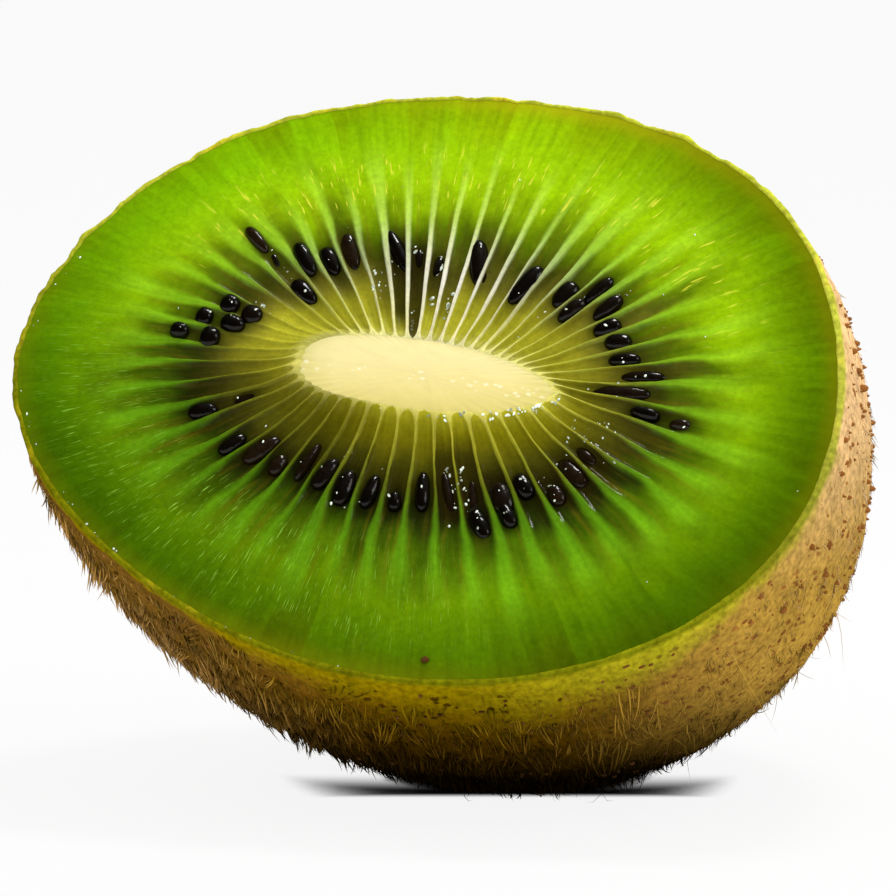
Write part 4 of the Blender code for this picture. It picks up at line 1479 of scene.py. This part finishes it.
def make_floor(stage):
    """A plain floor that reaches far past the fruit."""
    mesh = bmesh.new()
    bmesh.ops.create_grid(mesh, x_segments=8, y_segments=8, size=stage.floor_half)
    data = bpy.data.meshes.new("floor")
    mesh.to_mesh(data)
    mesh.free()
    data.materials.append(floor_material(stage))
    floor = bpy.data.objects.new("floor", data)
    bpy.context.scene.collection.objects.link(floor)


def add_light(name, place, watts, size):
    """A soft square light that faces the fruit."""
    lamp = bpy.data.lights.new(name, "AREA")
    lamp.energy = watts
    lamp.size = size
    item = bpy.data.objects.new(name, lamp)
    item.location = place
    item.rotation_euler = (FACE_CENTRE - Vector(place)).to_track_quat("-Z", "Y").to_euler()
    bpy.context.scene.collection.objects.link(item)


def make_surroundings(stage):
    """White all round, which shiny things don't mirror."""
    world = bpy.data.worlds.new("white_studio")
    world.use_nodes = True
    background = world.node_tree.nodes["Background"]
    background.inputs["Strength"].default_value = stage.sky
    background.inputs["Color"].default_value = WHITE
    world.cycles_visibility.glossy = False
    bpy.context.scene.world = world


def make_camera(stage):
    """A camera where the photograph was taken from."""
    around, high = math.radians(stage.round_angle), math.radians(stage.high_angle)
    right = Vector((math.cos(around), math.sin(around), 0))
    back = Vector((math.sin(around) * math.cos(high), -math.cos(around) * math.cos(high), math.sin(high)))
    up = back.cross(right)
    aim = FACE_CENTRE + stage.aim_right * right - stage.aim_down * up
    lens = bpy.data.cameras.new("camera")
    lens.sensor_width = 36.0
    lens.lens = stage.lens
    lens.clip_start = 0.01
    lens.clip_end = 20.0
    camera = bpy.data.objects.new("camera", lens)
    turn = Matrix((right, up, back)).transposed().to_4x4()
    camera.matrix_world = Matrix.Translation(aim + stage.distance * back) @ turn
    bpy.context.scene.collection.objects.link(camera)
    bpy.context.scene.camera = camera


def make_stage(stage):
    """Pale floor, white surroundings, soft lights and the photograph's camera."""
    make_floor(stage)
    make_surroundings(stage)
    add_light("key", (0.05, 0.08, 0.26), stage.key, 0.06)
    add_light("side", (0.22, -0.02, 0.16), stage.fill, 0.10)
    make_camera(stage)
    bpy.context.scene.view_settings.view_transform = "Standard"


class KIWI_OT_flesh(bpy.types.Operator):
    """Makes the green flesh with its rays"""

    bl_idname = "kiwi.flesh"
    bl_label = "Flesh"

    def execute(self, context):
        make_flesh(context.scene.kiwi_sizes, context.scene.kiwi_colours)
        return {"FINISHED"}


class KIWI_OT_core(bpy.types.Operator):
    """Makes the pale core"""

    bl_idname = "kiwi.core"
    bl_label = "Core"

    def execute(self, context):
        make_core(context.scene.kiwi_sizes, context.scene.kiwi_colours)
        return {"FINISHED"}


class KIWI_OT_skin(bpy.types.Operator):
    """Makes the thin skin"""

    bl_idname = "kiwi.skin"
    bl_label = "Skin"

    def execute(self, context):
        make_skin(context.scene.kiwi_sizes, context.scene.kiwi_colours)
        return {"FINISHED"}


class KIWI_OT_warts(bpy.types.Operator):
    """Makes the corky warts of the skin, and a crumb of them on the flesh"""

    bl_idname = "kiwi.warts"
    bl_label = "Warts"

    def execute(self, context):
        make_warts(context.scene.kiwi_sizes, context.scene.kiwi_colours)
        return {"FINISHED"}


class KIWI_OT_scar(bpy.types.Operator):
    """Makes the stalk scar"""

    bl_idname = "kiwi.scar"
    bl_label = "Stalk scar"

    def execute(self, context):
        make_scar(context.scene.kiwi_colours)
        return {"FINISHED"}


class KIWI_OT_seeds(bpy.types.Operator):
    """Makes the seeds"""

    bl_idname = "kiwi.seeds"
    bl_label = "Seeds"

    def execute(self, context):
        make_seeds(context.scene.kiwi_sizes, context.scene.kiwi_colours)
        return {"FINISHED"}


class KIWI_OT_juice(bpy.types.Operator):
    """Makes the drops of juice, painted as glints"""

    bl_idname = "kiwi.juice"
    bl_label = "Juice drops"

    def execute(self, context):
        make_glint_drops(context.scene.kiwi_sizes)
        return {"FINISHED"}


class KIWI_OT_hairs(bpy.types.Operator):
    """Makes the coarse, fine, felted and stray hairs"""

    bl_idname = "kiwi.hairs"
    bl_label = "Hairs"

    def execute(self, context):
        sizes, hairs, tones = context.scene.kiwi_sizes, context.scene.kiwi_hairs, context.scene.kiwi_colours

        def mostly_left(here, share):
            """More on the left than on the right, and none right by the cut."""
            bare = 0.02 + 0.13 * smooth(-14 * MM, 2 * MM, here[:, 0])
            return (0.04 + 0.96 * (1 - smooth(0.0, 22 * MM, here[:, 0]))) * smooth(0.0, bare, share)

        def all_over(here, share):
            """Even, thinning out towards the cut and the right."""
            return (0.2 + 0.8 * smooth(0.0, 0.12, share)) * (1 - 0.5 * smooth(8 * MM, 24 * MM, here[:, 0]))

        def lower_right(here, share):
            """Mostly low on the right, where the fur is thin."""
            return smooth(-2 * MM, 10 * MM, here[:, 0]) * (1 - smooth(9 * MM, 22 * MM, here[:, 2])) + 0.05

        coarse = hair_material("coarse_hair", tones, tones.hair_dark, tones.hair_light)
        fine = hair_material("fine_hair", tones, tones.hair_dark, tones.hair_fine)
        stray = hair_material("stray_hair", tones, tones.hair_light, tones.hair_gleam)
        # Knees, then lift, mess, curl and gather, where they grow, the material and a number to draw by.
        kinds = {
            "coarse": ((0.38, 0.72), (0.28, 0.15, 0.5, 0.5), mostly_left, coarse, 21),
            "fine": ((0.55,), (0.35, 0.25, 0.6, 0.4), all_over, fine, 22),
            "felt": ((), (0.6, 0.7, 0.4, 0.0), all_over, fine, 23),
            "stray": ((0.25, 0.5, 0.75), (0.7, 0.5, 1.4, 0.0), lower_right, stray, 24),
        }
        for kind, (knees, habit, weight, material, number) in kinds.items():
            count, long, wide = (getattr(hairs, kind + part) for part in ("", "_length", "_width"))
            draw = np.random.default_rng(sizes.draw + number)
            make_hairs(kind + "_hairs", count, long, wide, knees, habit, weight, material, draw)
        return {"FINISHED"}


class KIWI_OT_stage(bpy.types.Operator):
    """Makes the floor, the lights and the camera"""

    bl_idname = "kiwi.stage"
    bl_label = "Stage"

    def execute(self, context):
        make_stage(context.scene.kiwi_stage)
        return {"FINISHED"}


OPERATORS = (
    KIWI_OT_flesh, KIWI_OT_core, KIWI_OT_skin, KIWI_OT_warts, KIWI_OT_scar, KIWI_OT_seeds,
    KIWI_OT_juice, KIWI_OT_hairs, KIWI_OT_stage,
)


class KIWI_PT_panel(bpy.types.Panel):
    """Lists the pieces, sizes and colours in the sidebar"""

    bl_idname = "KIWI_PT_panel"
    bl_label = "Halved kiwi fruit"
    bl_space_type = "VIEW_3D"
    bl_region_type = "UI"
    bl_category = "Kiwi"

    def draw(self, context):
        for operator in OPERATORS:
            self.layout.operator(operator.bl_idname)
        for group in SIZE_GROUPS:
            settings = getattr(context.scene, group)
            box = self.layout.box()
            for name in settings.bl_rna.properties.keys():
                if name not in ("rna_type", "name"):
                    box.prop(settings, name)


def register():
    """Registers every class and hangs the settings on the scene."""
    for group in SIZE_GROUPS.values():
        bpy.utils.register_class(group)
    for operator in (*OPERATORS, KIWI_PT_panel):
        bpy.utils.register_class(operator)
    for name, group in SIZE_GROUPS.items():
        setattr(bpy.types.Scene, name, bpy.props.PointerProperty(type=group))


def unregister():
    """Takes it all away again."""
    for name in SIZE_GROUPS:
        delattr(bpy.types.Scene, name)
    for operator in reversed((*OPERATORS, KIWI_PT_panel)):
        bpy.utils.unregister_class(operator)
    for group in reversed(list(SIZE_GROUPS.values())):
        bpy.utils.unregister_class(group)


def main():
    """Makes every piece and the stage."""
    register()
    bpy.ops.kiwi.flesh()
    bpy.ops.kiwi.core()
    bpy.ops.kiwi.skin()
    bpy.ops.kiwi.warts()
    bpy.ops.kiwi.scar()
    bpy.ops.kiwi.seeds()
    bpy.ops.kiwi.juice()
    bpy.ops.kiwi.hairs()
    bpy.ops.kiwi.stage()


if __name__ == "__main__":
    main()
